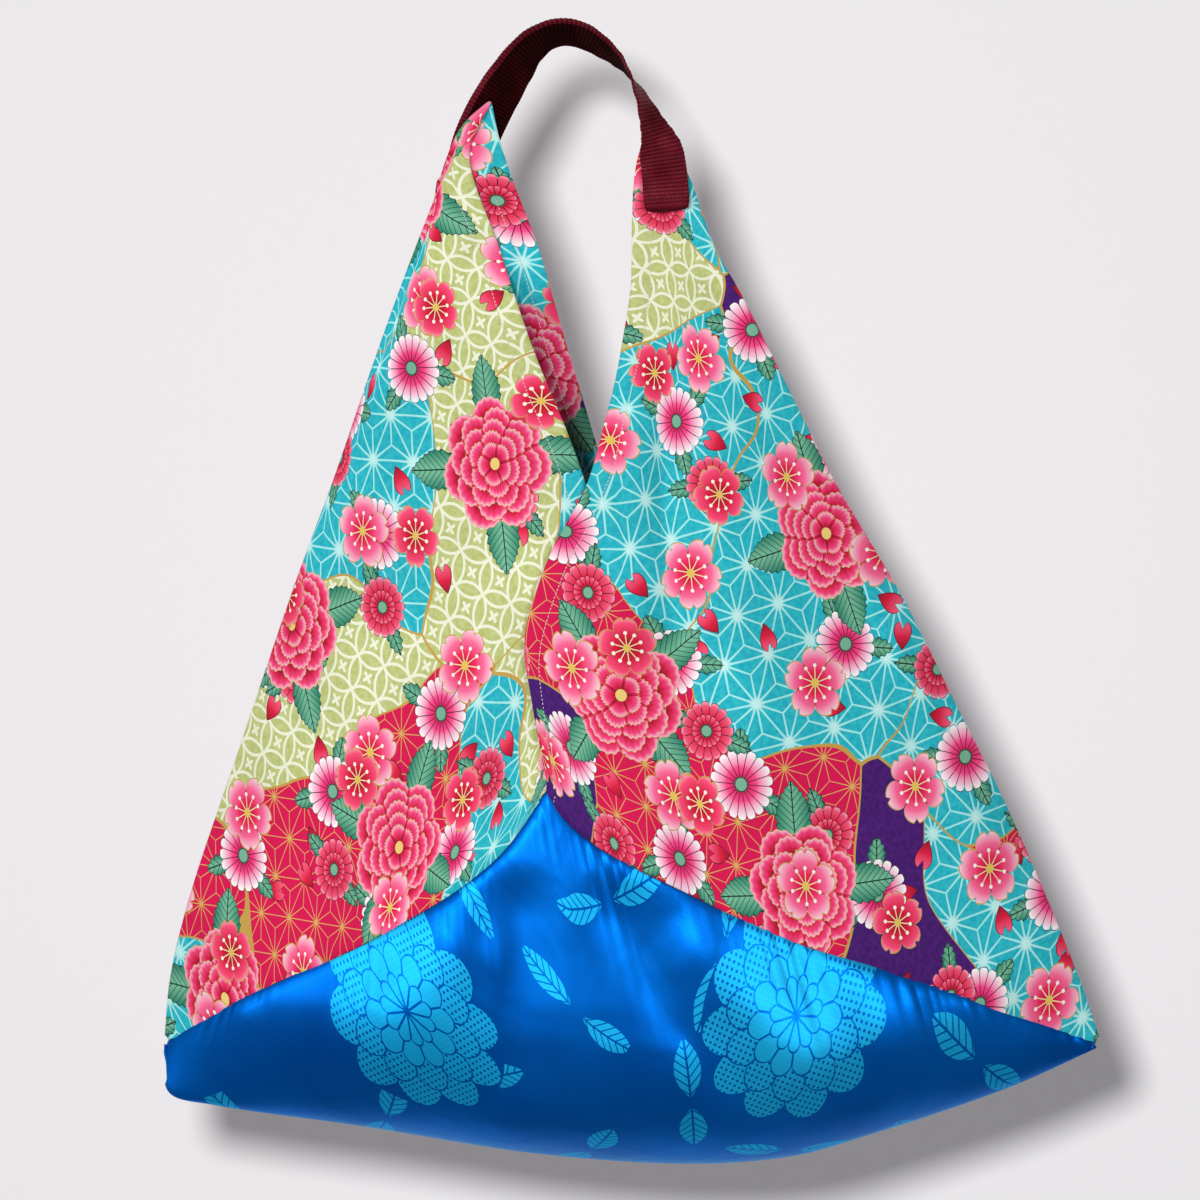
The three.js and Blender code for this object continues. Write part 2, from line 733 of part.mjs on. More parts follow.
// The sewn rectangle on the outer face of one end of the webbing.
function handleThread(endShare, direction) {
  const reach = STITCH_LENGTH / strapCurve.getLength();
  const inset = STITCH_INSET / strapCurve.getLength();
  const near = endShare + direction * inset;
  const far = endShare + direction * (inset + reach);
  const half = STRAP_WIDTH / 2 - STITCH_INSET;
  const raise = STRAP_THICKNESS + PLY_GAP + THREAD_WIDTH / 2;
  const path = [];
  for (const [from, to, across] of [
    [near, far, -half],
    [far, near, half],
  ]) {
    for (const { spot, width, face } of strapFrames(from, to, STITCH_STEPS)) {
      spot.addScaledVector(width, across).addScaledVector(face, raise);
      path.push({ spot, face });
    }
  }
  const frames = path.map(({ spot, face }, i) => {
    const before = path[(i + path.length - 1) % path.length].spot;
    const after = path[(i + 1) % path.length].spot;
    const into = spot.clone().sub(before).normalize();
    const out = after.clone().sub(spot).normalize();
    const travel = into.clone().add(out).normalize();
    const width = face.clone().cross(travel).normalize();
    return { spot, width: width.divideScalar(travel.dot(out)), face };
  });
  return sweptGeometry(frames, threadSection, true);
}

// Materials
const finish = (color, roughness) =>
  new THREE.MeshStandardMaterial({ color, roughness, metalness: 0, side: THREE.FrontSide });
const printedCotton = finish("#35b8bd", 0.8);
const printedLining = finish("#b8325a", 0.85);
const blueSatin = finish("#0a64c8", 0.35);
const baseLining = finish("#0f4f9c", 0.6);
const burgundyWebbing = finish("#5b1a24", 0.75);
const whiteThread = finish("#f1efe6", 0.6);
const burgundyThread = finish("#4a121c", 0.6);

const bag = new THREE.Group();
bag.name = "azuma_lunch_bag";

function add(name, geometry, material) {
  const mesh = new THREE.Mesh(geometry, material);
  mesh.name = name;
  bag.add(mesh);
}

const leftGrid = panelGrid(leftFront, leftBack, leftSide, -1);
const rightGrid = panelGrid(rightFront, rightBack, rightSide, 1);
const bottomGrid = baseGrid();
for (const [name, grid, flip, cloth, lining] of [
  ["left_panel", leftGrid, true, printedCotton, printedLining],
  ["right_panel", rightGrid, false, printedCotton, printedLining],
  ["base_panel", bottomGrid, false, blueSatin, baseLining],
]) {
  add(name, sheetGeometry(grid, PANEL_FROM_FOLD, STACK_HALF, flip), cloth);
  const liningOuter = LINING_FROM_FOLD + CLOTH_THICKNESS;
  add(name + "_lining", sheetGeometry(grid, LINING_FROM_FOLD, liningOuter, flip), lining);
}

const archFrom = leftHingeShare + hingeGapShare;
const archTo = rightHingeShare - hingeGapShare;
const archFrames = strapFrames(archFrom, archTo, STRAP_STEPS);
add("handle_webbing", sweptGeometry(archFrames, strapSection), burgundyWebbing);
const leftEnd = strapFrames(leftHingeShare - hingeGapShare, 0, STRAP_END_STEPS);
for (const frame of leftEnd) frame.tangent.negate();
const rightEnd = strapFrames(rightHingeShare + hingeGapShare, 1, STRAP_END_STEPS);
for (const [name, frames] of [
  ["handle_end_left", leftEnd],
  ["handle_end_right", rightEnd],
]) {
  frames.push(...tuckFrames(frames[STRAP_END_STEPS]));
  add(name, sweptGeometry(frames, strapSection), burgundyWebbing);
}
add("handle_stitching_left", handleThread(0, 1), burgundyThread);
add("handle_stitching_right", handleThread(1, -1), burgundyThread);
add("left_front_topstitch", hemThread(leftGrid, true), whiteThread);
add("left_back_topstitch", hemThread(leftGrid, false), whiteThread);
add("right_front_topstitch", hemThread(rightGrid, true), whiteThread);
add("right_back_topstitch", hemThread(rightGrid, false), whiteThread);

export default bag;
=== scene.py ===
"""The looks of an azuma lunch bag: lined cotton panels over a satin base, with a webbing handle.

Lengths are in metres in the frame of the CAD model. X runs to the right, Y to the back, Z up.
"""

import math
from functools import partial

import bpy
import numpy as np
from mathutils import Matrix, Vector


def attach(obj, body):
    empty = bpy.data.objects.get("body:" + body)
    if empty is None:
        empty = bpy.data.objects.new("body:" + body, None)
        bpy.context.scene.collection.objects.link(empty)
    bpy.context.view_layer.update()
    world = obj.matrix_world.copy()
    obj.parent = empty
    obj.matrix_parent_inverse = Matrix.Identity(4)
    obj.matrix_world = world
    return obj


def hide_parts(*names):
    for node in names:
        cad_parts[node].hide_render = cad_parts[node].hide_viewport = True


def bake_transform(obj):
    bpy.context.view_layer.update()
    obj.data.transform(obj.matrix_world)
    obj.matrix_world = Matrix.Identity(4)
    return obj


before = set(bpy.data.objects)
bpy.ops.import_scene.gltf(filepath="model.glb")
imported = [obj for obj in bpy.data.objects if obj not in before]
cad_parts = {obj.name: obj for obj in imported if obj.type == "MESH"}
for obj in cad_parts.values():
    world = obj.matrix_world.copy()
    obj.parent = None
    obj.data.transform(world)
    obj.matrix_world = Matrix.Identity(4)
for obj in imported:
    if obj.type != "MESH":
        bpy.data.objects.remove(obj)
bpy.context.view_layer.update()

MM = 0.001

# The bag, as in the CAD source
BAG_WIDTH = 604 * MM
BAG_HEIGHT = 740 * MM
BAG_DEPTH = 156 * MM
KEEL_HEIGHT = 84 * MM
SQUARE = BAG_WIDTH / math.sqrt(2)
PANEL_LAP = 2.4 * MM
PEAK_OFFSET = 5.0 * MM
SEAM_GAP = 0.6 * MM

# How far the faces of the cloth lie from the surface that the bag is drawn on
PANEL_OUTSIDE = 2.4 * MM
PANEL_INSIDE = 1.5 * MM
LINING_OUTSIDE = 1.35 * MM
LINING_INSIDE = 0.5 * MM
EDGE_MIDDLE = 1.42 * MM  # where the two cloths meet at an opening edge
EDGE_ROUND = 2.2 * MM  # over which they round together there

# Sewing
HEM_WIDTH = 11 * MM
STITCH_PITCH = 2.6 * MM
STITCH_LENGTH = 2.0 * MM
STITCH_WIDTH = 0.62 * MM
STITCH_SIDES, STITCH_RINGS = 6, 5
STRAP_STITCH_INSET = 4 * MM
STRAP_STITCH_REACH = 26 * MM

# Relief of the cloth
PANEL_CALM_DEPTH, BASE_CALM_DEPTH = 16 * MM, 14 * MM  # half depths below which ripples die down
PANEL_RIPPLE, BASE_RIPPLE = 0.7 * MM, 0.6 * MM  # their heights
PANEL_RIPPLE_LENGTH, BASE_RIPPLE_LENGTH, LONGEST_RIPPLE = 45 * MM, 60 * MM, 150 * MM
PEAK_FOLD = 2.2 * MM  # height of the soft folds below a peak
PEAK_FOLD_START, PEAK_FOLD_FULL, PEAK_FOLD_FADE = 20, 220, 260  # in pixels from it
SEAM_DIP, SEAM_DIP_REACH = 1.6 * MM, 2.2 * MM
PUCKER_PITCH = 10.5 * MM
PANEL_PUCKER, PANEL_PUCKER_REACH = 0.7 * MM, 9 * MM  # height, and how far from the seam
BASE_PUCKER, BASE_GATHER, BASE_PUCKER_REACH = 0.3 * MM, 0.9 * MM, 18 * MM
PUCKER_DRIFT_LENGTH, PUCKER_STRENGTH_LENGTH = 73 * MM, 118 * MM  # over which they vary
SIDE_CALM = 14 * MM  # from a side fold, within which the relief dies down
HEM_RISE, HEM_SOFTNESS = 0.3 * MM, 0.8 * MM
GROOVE_DEPTH, GROOVE_WIDTH = 0.35 * MM, 1.6 * MM  # along the stitches of the hem
PULL_HEIGHT, PULL_PITCH, PULL_REACH = 0.28 * MM, 8.5 * MM, 7 * MM  # of those stitches

# Webbing
STRAP_WIDTH = 30 * MM
STRAP_THICKNESS = 2 * MM
STRAP_ROLL = 0.55 * MM  # over which its edges round
STRAP_EDGE_INSET = 0.12 * MM
STRAP_FACE_STEPS = 25
CORD_HEIGHT, CORD_PITCH = 0.05 * MM, 1.25 * MM  # of its fine lengthwise cords
END_PINCH = 0.07  # the share by which it narrows at its folded ends
RIB_PINCH = 0.012  # the same between two ribs
STRAP_TUCK = 20 * MM
TUCK_GAP = 0.3 * MM
FOLD_RUN = 3.6 * MM  # along its middle, round a folded end
RIB_PITCH = 2.5 * MM
RIB_HEIGHT = 0.32 * MM
END_PUFF = 2.2 * MM  # by which the doubled ends swell
END_PUFF_REACH = 6 * MM
UNDERSIDE = 100 * MM  # by which the UV map of the webbing's underside is moved
LIT_EDGE_REACH = 11 * MM  # from the middle of the webbing's underside to the band of painted light along its outer edge

# Outlines in pixels of a 1200 pixel square view from the front
CROWN = (566, 34)
TOP_ROW, LOWEST_ROW = 21, 1159
LEFT_CORNER, RIGHT_CORNER = (168, 1041), (1098, 1043)
FRONT_APEX, BACK_APEX = (549, 786), (675, 786)
LEFT_PEAK, RIGHT_PEAK = (492, 104), (646, 132)
LEFT_SIDE = [LEFT_CORNER, (173, 982), (191, 904), (244, 745), (300, 580), (337, 480), (373, 375),
             (400, 300), (425, 234), (438, 200), (450, 160), (466, 128), LEFT_PEAK]
RIGHT_SIDE = [RIGHT_CORNER, (1077, 982), (1044, 900), (1000, 800), (950, 700), (900, 600),
              (830, 480), (790, 400), (740, 299), (712, 249), (698, 211), (687, 180), (670, 152),
              RIGHT_PEAK]
LEFT_FRONT_SEAM = [LEFT_CORNER, (238, 1000), (336, 953), (407, 918), (463, 884), (505, 849),
                   (533, 812), FRONT_APEX]
RIGHT_FRONT_SEAM = [RIGHT_CORNER, (1036, 1022), (914, 976), (781, 931), (689, 888), (600, 842),
                    (565, 812), FRONT_APEX]
LEFT_BACK_SEAM = [LEFT_CORNER, (231, 1022), (337, 976), (458, 931), (540, 888), (623, 842),
                  (660, 812), BACK_APEX]
RIGHT_BACK_SEAM = [RIGHT_CORNER, (1031, 1000), (920, 953), (838, 918), (767, 884), (721, 849),
                   (691, 812), BACK_APEX]
LEFT_FRONT_OPENING = [FRONT_APEX, (585, 735), (607, 660), (606, 560), (583, 477), (530, 341),
                      (500, 250), (470, 155), LEFT_PEAK]
LEFT_BACK_OPENING = [BACK_APEX, (648, 660), (625, 550), (597, 448), (567, 348), (538, 247),
                     (511, 176), (499, 137), LEFT_PEAK]
RIGHT_FRONT_OPENING = [FRONT_APEX, (533, 700), (526, 640), (549, 560), (588, 484), (608, 410),
                       (622, 345), (631, 285), (632, 215), (636, 165), RIGHT_PEAK]
RIGHT_BACK_OPENING = [BACK_APEX, (620, 740), (596, 660), (594, 560), (618, 477), (640, 390),
                      (648, 300), (650, 215), (649, 165), RIGHT_PEAK]
BOTTOM = [LEFT_CORNER, (167, 1068), (172, 1090), (216, 1101), (365, 1122), (538, 1149),
          (694, LOWEST_ROW), (794, 1151), (863, 1132), (1006, 1084), RIGHT_CORNER]
STRAP = [(468, 188), (473, 150), (485, 120), (500, 93), (515, 70), (531, 49), (549, 37), CROWN,
         (583, 38), (600, 48), (615, 60), (626, 73), (640, 97), (649, 118), (653, 128),
         (657, 138), (660, 148), (662, 158), (665, 180), (667, 206)]
STRAP_TURN_SHARES = [0, 0, 0.044, 0.111, 0.189, 0.267, 0.317, 0.333, 0.344, 0.378, 0.428, 0.489,
                     0.583, 0.656, 0.711, 0.778, 0.872, 0.944, 1, 1]
DEPTH_ROWS = [0, 265, 300, 400, 500, 600, 700, 800, 900, 1000, 1200]
DEPTH_SHARES = [0, 0, 0.09, 0.32, 0.51, 0.66, 0.79, 0.89, 0.96, 1, 1]
EDGE_POWER, EDGE_ROUNDNESS = 2.4, 0.9
PEAK_ROWS = (268, 420)
LAP_SHARES = (0.5, 0.8)
MIRROR_COLUMNS = LEFT_CORNER[0] + RIGHT_CORNER[0]  # the back is the front turned half round

# The main folds of the front, as in the CAD source: the height in millimetres, which is
# negative where a fold sinks in, its half width to the left and right of its line, and the
# pixels that the line runs through.
FOLDS = [
    (5, 14, 22.4, [(640, 300), (624, 400), (622, 480), (627, 580), (616, 660), (600, 740)]),
    (-4.25, 16.8, 16.8, [(655, 330), (662, 480), (668, 600), (688, 700), (690, 860)]),
    (3.5, 19.6, 28, [(690, 330), (712, 480), (738, 640), (752, 780), (760, 900)]),
    (-3.25, 28, 28, [(730, 350), (790, 500), (850, 660), (900, 800), (930, 940)]),
    (3.25, 28, 25.2, [(470, 230), (424, 400), (396, 580), (374, 740), (360, 900)]),
    (-3.25, 25.2, 28, [(492, 280), (474, 420), (458, 580), (448, 740), (440, 870)]),
    (-5, 22.4, 22.4, [(596, 860), (640, 930), (690, 1010), (740, 1100)]),
    (4.5, 25.2, 28, [(668, 900), (722, 970), (780, 1040), (826, 1110)]),
    (5, 28, 28, [(490, 890), (444, 960), (414, 1030), (396, 1100)]),
    (-5, 22.4, 22.4, [(536, 850), (518, 930), (508, 1020), (520, 1120)]),
]
# Lesser creases that only show close by, written the same way
PANEL_CREASES = [
    (-2.2, 4.5, 9, [(630, 330), (619, 400), (617, 480), (622, 575), (612, 650)]),
    (-1.7, 4.5, 9, [(660, 360), (661, 450), (664, 540), (672, 620), (690, 700)]),
    (1.2, 4, 10, [(674, 400), (678, 500), (684, 580), (698, 670), (702, 780)]),
    (1.1, 8, 12, [(436, 300), (398, 440), (356, 600), (320, 760)]),
    (-1.0, 8, 12, [(452, 330), (424, 480), (396, 640), (380, 780)]),
    (1.2, 6, 14, [(505, 300), (524, 430), (530, 560), (520, 700), (500, 800)]),
    (-1.1, 9, 9, [(716, 300), (778, 440), (850, 590), (912, 740), (960, 880)]),
    (1.0, 7, 12, [(740, 330), (836, 520), (922, 700), (990, 880)]),
]
BASE_CREASES = [
    (-1.2, 14, 14, [(400, 924), (352, 985), (320, 1045), (306, 1095)]),
    (1.2, 12, 16, [(845, 955), (872, 1010), (888, 1070)]),
    (-1.2, 12, 12, [(920, 980), (944, 1020), (960, 1060)]),
    (1.0, 12, 12, [(262, 990), (236, 1040), (224, 1085)]),
    (-1.3, 12, 14, [(760, 930), (810, 985), (838, 1050), (846, 1110)]),
    (1.1, 10, 18, [(610, 862), (660, 940), (700, 1010), (730, 1080)]),
    (1.0, 12, 16, [(470, 884), (420, 960), (380, 1040), (366, 1100)]),
]
FOLD_ENDS_SHARE = 0.25
FOLD_CALM_DEPTH = 22 * MM
FOLD_BLEND = 3 * MM  # to each side of a fold's line, from one half width to the other


# The size of a pixel of the front view
ACROSS = BAG_WIDTH / (RIGHT_CORNER[0] - LEFT_CORNER[0])
UP = BAG_HEIGHT / (LOWEST_ROW - TOP_ROW)


def place(pixels):
    """Pixels of the front view as points (x, z) in the plane through the middle of the bag."""
    return (np.asarray(pixels, float) - CROWN) * (ACROSS, -UP)


def pixel_of(x, z):
    """The column and row of the front view at places across and up the bag."""
    return CROWN[0] + x / ACROSS, CROWN[1] - z / UP


def smooth_line(points, steps):
    """Points on a smooth curve through the given ones, with so many steps between two."""
    points = np.asarray(points, float)
    points = np.vstack([2 * points[0] - points[1], points, 2 * points[-1] - points[-2]])
    line = []
    t = np.linspace(0, 1, steps, endpoint=False)[:, None]
    for a, b, c, d in zip(points, points[1:], points[2:], points[3:]):
        ab, bc, cd = (np.linalg.norm(q - p) ** 0.5 for p, q in ((a, b), (b, c), (c, d)))
        into = ((b - a) / ab - (c - a) / (ab + bc) + (c - b) / bc) * bc
        out = ((c - b) / bc - (d - b) / (bc + cd) + (d - c) / cd) * bc
        near = (2 * t**3 - 3 * t**2 + 1) * b + (t**3 - 2 * t**2 + t) * into
        far = (3 * t**2 - 2 * t**3) * c + (t**3 - t**2) * out
        line.append(near + far)
    return np.vstack([*line, points[-2]])


class Outline:
    """A smooth curve through pixels of the front view, read by the share of its length."""

    def __init__(self, pixels):
        self.points = smooth_line(place(pixels), 100)
        steps = np.linalg.norm(np.diff(self.points, axis=0), axis=1)
        self.length = steps.sum()
        self.shares = np.concatenate([[0], np.cumsum(steps)]) / self.length

    def at(self, share):
        pair = [np.interp(share, self.shares, self.points[:, k]) for k in (0, 1)]
        return np.stack(pair, axis=-1)


left_side, right_side, bottom = Outline(LEFT_SIDE), Outline(RIGHT_SIDE), Outline(BOTTOM)
corner_height = max(left_side.points[0, 1], right_side.points[0, 1])


def eased(value, low, high):
    """From 0 at low to 1 at high, with a smooth start and end."""
    t = np.clip((value - low) / (high - low), 0, 1)
    return t * t * (3 - 2 * t)


def half_depth(x, z):
    """Half the bag's depth at places in its outline, as in the CAD source."""
    level = np.maximum(z, corner_height)
    left = np.interp(level, left_side.points[:, 1], left_side.points[:, 0])
    right = np.interp(level, right_side.points[:, 1], right_side.points[:, 0])
    off_middle = np.minimum(1, np.abs((2 * x - left - right) / (right - left + 1e-9)))
    edge = (1 - off_middle**EDGE_POWER) ** EDGE_ROUNDNESS
    below = np.interp(x, bottom.points[:, 0], bottom.points[:, 1])
    rise = np.clip((z - below) / KEEL_HEIGHT, 0, 1)
    keel = np.sqrt(1 - (1 - rise) ** 2)
    share = np.interp(pixel_of(x, z)[1], DEPTH_ROWS, DEPTH_SHARES)
    return BAG_DEPTH / 2 * share * edge * keel


def unit(vectors):
    """Vectors of the same directions with a length of 1."""
    return vectors / np.maximum(np.linalg.norm(vectors, axis=-1, keepdims=True), 1e-12)


def normals_of(spots, toward):
    """Unit normals of a grid of points, on the side that toward points to."""
    down, across = np.gradient(spots, axis=0), np.gradient(spots, axis=1)
    normals = unit(np.cross(down, across))
    facing = np.sign(np.sum(normals * toward, axis=-1, keepdims=True))
    return normals * np.where(facing == 0, 1, facing)


# Relief: how far the cloth stands out of its plain form


def fold_height(x, z, folds, front):
    """How far the listed folds stand out at places of the front or the back."""
    calm = eased(half_depth(x, z), 0, FOLD_CALM_DEPTH)
    if not front:
        x = left_side.points[0, 0] + right_side.points[0, 0] - x
    total = np.zeros_like(x)
    for height, left_width, right_width, pixels in folds:
        line = smooth_line(place(pixels), 16)
        least, share, side = np.full(x.shape, np.inf), np.zeros_like(x), np.zeros_like(x)
        for i, (a, b) in enumerate(zip(line, line[1:])):
            run = b - a
            t = np.clip(((x - a[0]) * run[0] + (z - a[1]) * run[1]) / run.dot(run), 0, 1)
            dx, dz = x - a[0] - t * run[0], z - a[1] - t * run[1]
            distance = np.hypot(dx, dz)
            closer = distance < least
            least = np.where(closer, distance, least)
            share = np.where(closer, (i + t) / (len(line) - 1), share)
            side = np.where(closer, dx, side)
        ends = eased(np.minimum(share, 1 - share), 0, FOLD_ENDS_SHARE)
        blend = eased(side, -FOLD_BLEND, FOLD_BLEND)
        width = (left_width + (right_width - left_width) * blend) * MM
        total += height * MM * ends * np.exp(-((least / width) ** 2))
    return total * calm


def spared(height, x, z):
    """A relief that stays out of the other layers where the bag is thin."""
    room = 0.35 * MM + 0.5 * half_depth(x, z)
    return np.where(height < 0, -room * np.tanh(-height / room), height)


def cloth_depth(x, z, front):
    """How far the cloth lies in front of or behind the middle plane of the bag."""
    return half_depth(x, z) + fold_height(x, z, FOLDS, front)


RIPPLE_WAVES = 10


def ripple(seed, x, y, long, short):
    """A seeded sum of waves between two wave lengths, about from -1 to 1."""
    draw = np.random.default_rng(seed)
    total = np.zeros_like(x)
    for _ in range(RIPPLE_WAVES):
        turn = draw.uniform(0, math.pi)
        length = math.exp(draw.uniform(math.log(short), math.log(long)))
        start = draw.uniform(0, 2 * math.pi)
        total += np.sin(2 * math.pi * (x * math.cos(turn) + y * math.sin(turn)) / length + start)
    return total / math.sqrt(RIPPLE_WAVES)


def fan_of_folds(column, row, peak, seed):
    """Soft folds that spread from a peak, where the cloth is drawn together."""
    dx, dy = column - peak[0], row - peak[1]
    reach, turn = np.hypot(dx, dy), np.arctan2(dx, dy)
    draw = np.random.default_rng(seed)
    wave = sum(
        np.sin(turn * k + draw.uniform(0, 2 * math.pi)) * w
        for k, w in ((13, 1.0), (19, 0.6), (27, 0.3))
    )
    wave = wave * eased(reach, PEAK_FOLD_START, PEAK_FOLD_FULL)
    return wave * np.exp(-reach / PEAK_FOLD_FADE) * PEAK_FOLD


def wavy(along, pitch, seed):
    """An uneven row of puckers along a seam, from -1 to 1."""
    draw = np.random.default_rng(seed)
    run = 2 * math.pi * along
    drift = 2.2 * np.sin(run / PUCKER_DRIFT_LENGTH + draw.uniform(0, 6))
    strength = 0.55 + 0.45 * np.sin(run / PUCKER_STRENGTH_LENGTH + draw.uniform(0, 6))
    return np.sin(run / pitch + drift) * strength


def seam_relief(from_seam, along_seam, height, reach, seed):
    """Puckers that fade away from a seam, and the dip of the cloth into the seam itself."""
    puckers = wavy(along_seam, PUCKER_PITCH, seed) * height * np.exp(-from_seam / reach)
    return puckers - SEAM_DIP * np.exp(-from_seam / SEAM_DIP_REACH)


def panel_relief(x, z, from_seam, along_seam, from_hem, along_hem, from_side, front, seed):
    """How far half a panel stands out, with its creases, ripples, puckers and hem."""
    column, row = pixel_of(x, z)
    if not front:
        column = MIRROR_COLUMNS - column
    height = fold_height(x, z, PANEL_CREASES, front)
    height += fan_of_folds(column, row, LEFT_PEAK, 5) + fan_of_folds(column, row, RIGHT_PEAK, 9)
    calm = eased(half_depth(x, z), 0, PANEL_CALM_DEPTH)
    waves = ripple(3 + front, x, z, LONGEST_RIPPLE, PANEL_RIPPLE_LENGTH)
    height += waves * PANEL_RIPPLE * calm
    height += seam_relief(from_seam, along_seam, PANEL_PUCKER, PANEL_PUCKER_REACH, seed)
    off_stitches = from_hem - HEM_WIDTH
    hem = HEM_RISE * eased(off_stitches, HEM_SOFTNESS, -HEM_SOFTNESS)
    groove = GROOVE_DEPTH * np.exp(-((off_stitches / GROOVE_WIDTH) ** 2))
    pull = wavy(along_hem, PULL_PITCH, seed + 50) * PULL_HEIGHT
    pull = pull * np.exp(-np.abs(off_stitches) / PULL_REACH)
    return spared(height + hem - groove + pull, x, z) * eased(from_side, 0, SIDE_CALM)


GATHERED_SEAMS = (22, 23)  # the seeds of the seams where the satin is drawn up more


def base_relief(x, z, from_seam, along_seam, reach, front, seed):
    """How far the satin stands out on one side, with its creases, ripples and gathers."""
    height = fold_height(x, z, BASE_CREASES, front)
    calm = eased(half_depth(x, z), 0, BASE_CALM_DEPTH)
    waves = ripple(13 + front, x, z, LONGEST_RIPPLE, BASE_RIPPLE_LENGTH)
    height += waves * BASE_RIPPLE * calm
    puckers = BASE_GATHER if seed in GATHERED_SEAMS else BASE_PUCKER
    height += seam_relief(from_seam, along_seam, puckers, BASE_PUCKER_REACH, seed)
    return height * eased(reach, 0, 0.3)


# The panels and the base as grids of points


def paced(start, change, end, count, later_count):
    """Steps from start to end that are wider or closer after a change."""
    later = np.linspace(change, end, later_count)[1:]
    return np.concatenate([np.linspace(start, change, count), later])


ALONG = paced(0.006, 0.93, 1, 96, 36)
RISE = paced(0, 0.045, 1, 16, 86)
FAN_STEPS = 7
WRAP_LENGTH = math.pi * PANEL_OUTSIDE  # of the outer face round a side fold


def panel_half(seam, side, opening, front, peak_to, seed):
    """Points and normals of one half of a printed panel, as in the CAD source, with its relief."""
    along, rise = np.meshgrid(ALONG, RISE, indexing="ij")
    low, high = seam.at(along), side.at(along)
    flat = low + (high - low) * rise[..., None]
    chord = seam.at(1) + (side.at(1) - seam.at(1)) * rise[..., None]
    flat = flat + (opening.at(rise) - chord) * along[..., None] ** 3
    x, z = flat[..., 0], flat[..., 1] + SEAM_GAP / 2 * (1 - rise)
    lapped = eased(along, *LAP_SHARES)
    beside = 1 - eased(pixel_of(x, z)[1], *PEAK_ROWS)
    shift = -PANEL_LAP * lapped * (1 - beside) + PEAK_OFFSET * beside
    depth = cloth_depth(x, z, front)
    y = (-depth if front else depth) + peak_to * shift
    spots = np.stack([x, y, z], axis=-1)
    toward = np.array([0, -1 if front else 1, 0])
    normals = normals_of(spots, toward)
    height = panel_relief(
        x, z, rise * along * SQUARE, along * SQUARE, (1 - along) * SQUARE, rise * SQUARE,
        (1 - rise) * along * SQUARE, front, seed,
    )
    spots = spots + normals * height[..., None]
    return spots, normals_of(spots, toward), along, rise


def panel_grid(halves, side, outward):
    """One folded panel: its front half, the turn round the side fold, and its back half."""
    (front, front_normals, along, rise), (back, back_normals, _, _) = halves
    tangent = side.at(np.minimum(ALONG + 0.004, 1)) - side.at(ALONG - 0.004)
    out = unit(np.stack([outward * tangent[:, 1], 0 * ALONG, -outward * tangent[:, 0]], axis=-1))
    fold = (front[:, -1] + back[:, -1]) / 2
    run, up = along * SQUARE, along * rise * SQUARE
    wrap = WRAP_LENGTH / math.sqrt(2)
    turns, middle = [], []
    for part in np.arange(1, FAN_STEPS + 1) / (FAN_STEPS + 1):
        near, far = (front_normals[:, -1], out) if part <= 0.5 else (out, back_normals[:, -1])
        turns.append(unit(near + (far - near) * (2 * part if part <= 0.5 else 2 * part - 1)))
        middle.append(ALONG[:, None] * SQUARE + np.array([-wrap, wrap]) * part)
    spots = np.concatenate([front, np.repeat(fold[:, None], FAN_STEPS, 1), back[:, ::-1]], 1)
    normals = np.concatenate([front_normals, np.stack(turns, 1), back_normals[:, ::-1]], 1)
    under = np.stack([up - wrap, run + wrap], axis=-1)[:, ::-1]
    flat = np.concatenate([np.stack([run, up], axis=-1), np.stack(middle, 1), under], 1)
    from_hem = np.repeat((1 - ALONG)[:, None] * SQUARE, spots.shape[1], 1)
    return {"spots": spots, "normals": normals, "flat": flat, "from_hem": from_hem}


ACROSS_STEPS = 230
BASE_CENTRE = (0.03, 0, -0.52)
REACH = paced(0, 0.91, 1, 52, 19)


def base_grid(left_front, right_front, left_back, right_back):
    """The base as one grid: from corner to corner, and from the front seam to the back seam."""
    share, reach = np.meshgrid(np.linspace(0.003, 0.997, ACROSS_STEPS), REACH, indexing="ij")
    at_left = share <= 0.5
    along = np.where(at_left, 2 * share, 2 - 2 * share)
    parts = []
    for front in (True, False):
        seams = (left_front, right_front) if front else (left_back, right_back)
        top = np.where(at_left[..., None], seams[0].at(along), seams[1].at(along))
        top[..., 1] -= SEAM_GAP / 2
        low = bottom.at(share)
        flat = low + (top - low) * (1 - np.cos(reach * math.pi / 2))[..., None]
        x, z = flat[..., 0], flat[..., 1]
        depth = cloth_depth(x, z, front)
        spots = np.stack([x, -depth if front else depth, z], axis=-1)
        from_seam = (1 - reach) * along * SQUARE / 2
        seeds = (21, 22) if front else (23, 24)
        height = np.where(at_left, *(
            base_relief(x, z, from_seam, along * SQUARE, reach, front, seed) for seed in seeds
        ))
        half_span = along * reach * SQUARE / math.sqrt(2) * (-1 if front else 1)
        run = share * BAG_WIDTH
        cut = np.stack([run + half_span, run - half_span], axis=-1) / math.sqrt(2)
        order = slice(None, None, -1) if front else slice(1, None)
        parts.append([a[:, order] for a in (spots, height, cut)])
    spots, height, flat = (np.concatenate(pair, axis=1) for pair in zip(*parts))
    normals = normals_of(spots, spots - BASE_CENTRE)
    spots = spots + normals * height[..., None]
    normals = normals_of(spots, spots - BASE_CENTRE)
    from_hem = np.full(height.shape, 1.0)
    return {"spots": spots, "normals": normals, "flat": flat, "from_hem": from_hem}


def quads_of(index, closed=False):
    """The faces between the rows of a grid of point numbers, which may close round."""
    here, after = (index, np.roll(index, -1, 1)) if closed else (index[:, :-1], index[:, 1:])
    return np.stack([here[:-1], after[:-1], after[1:], here[1:]], axis=-1).reshape(-1, 4)


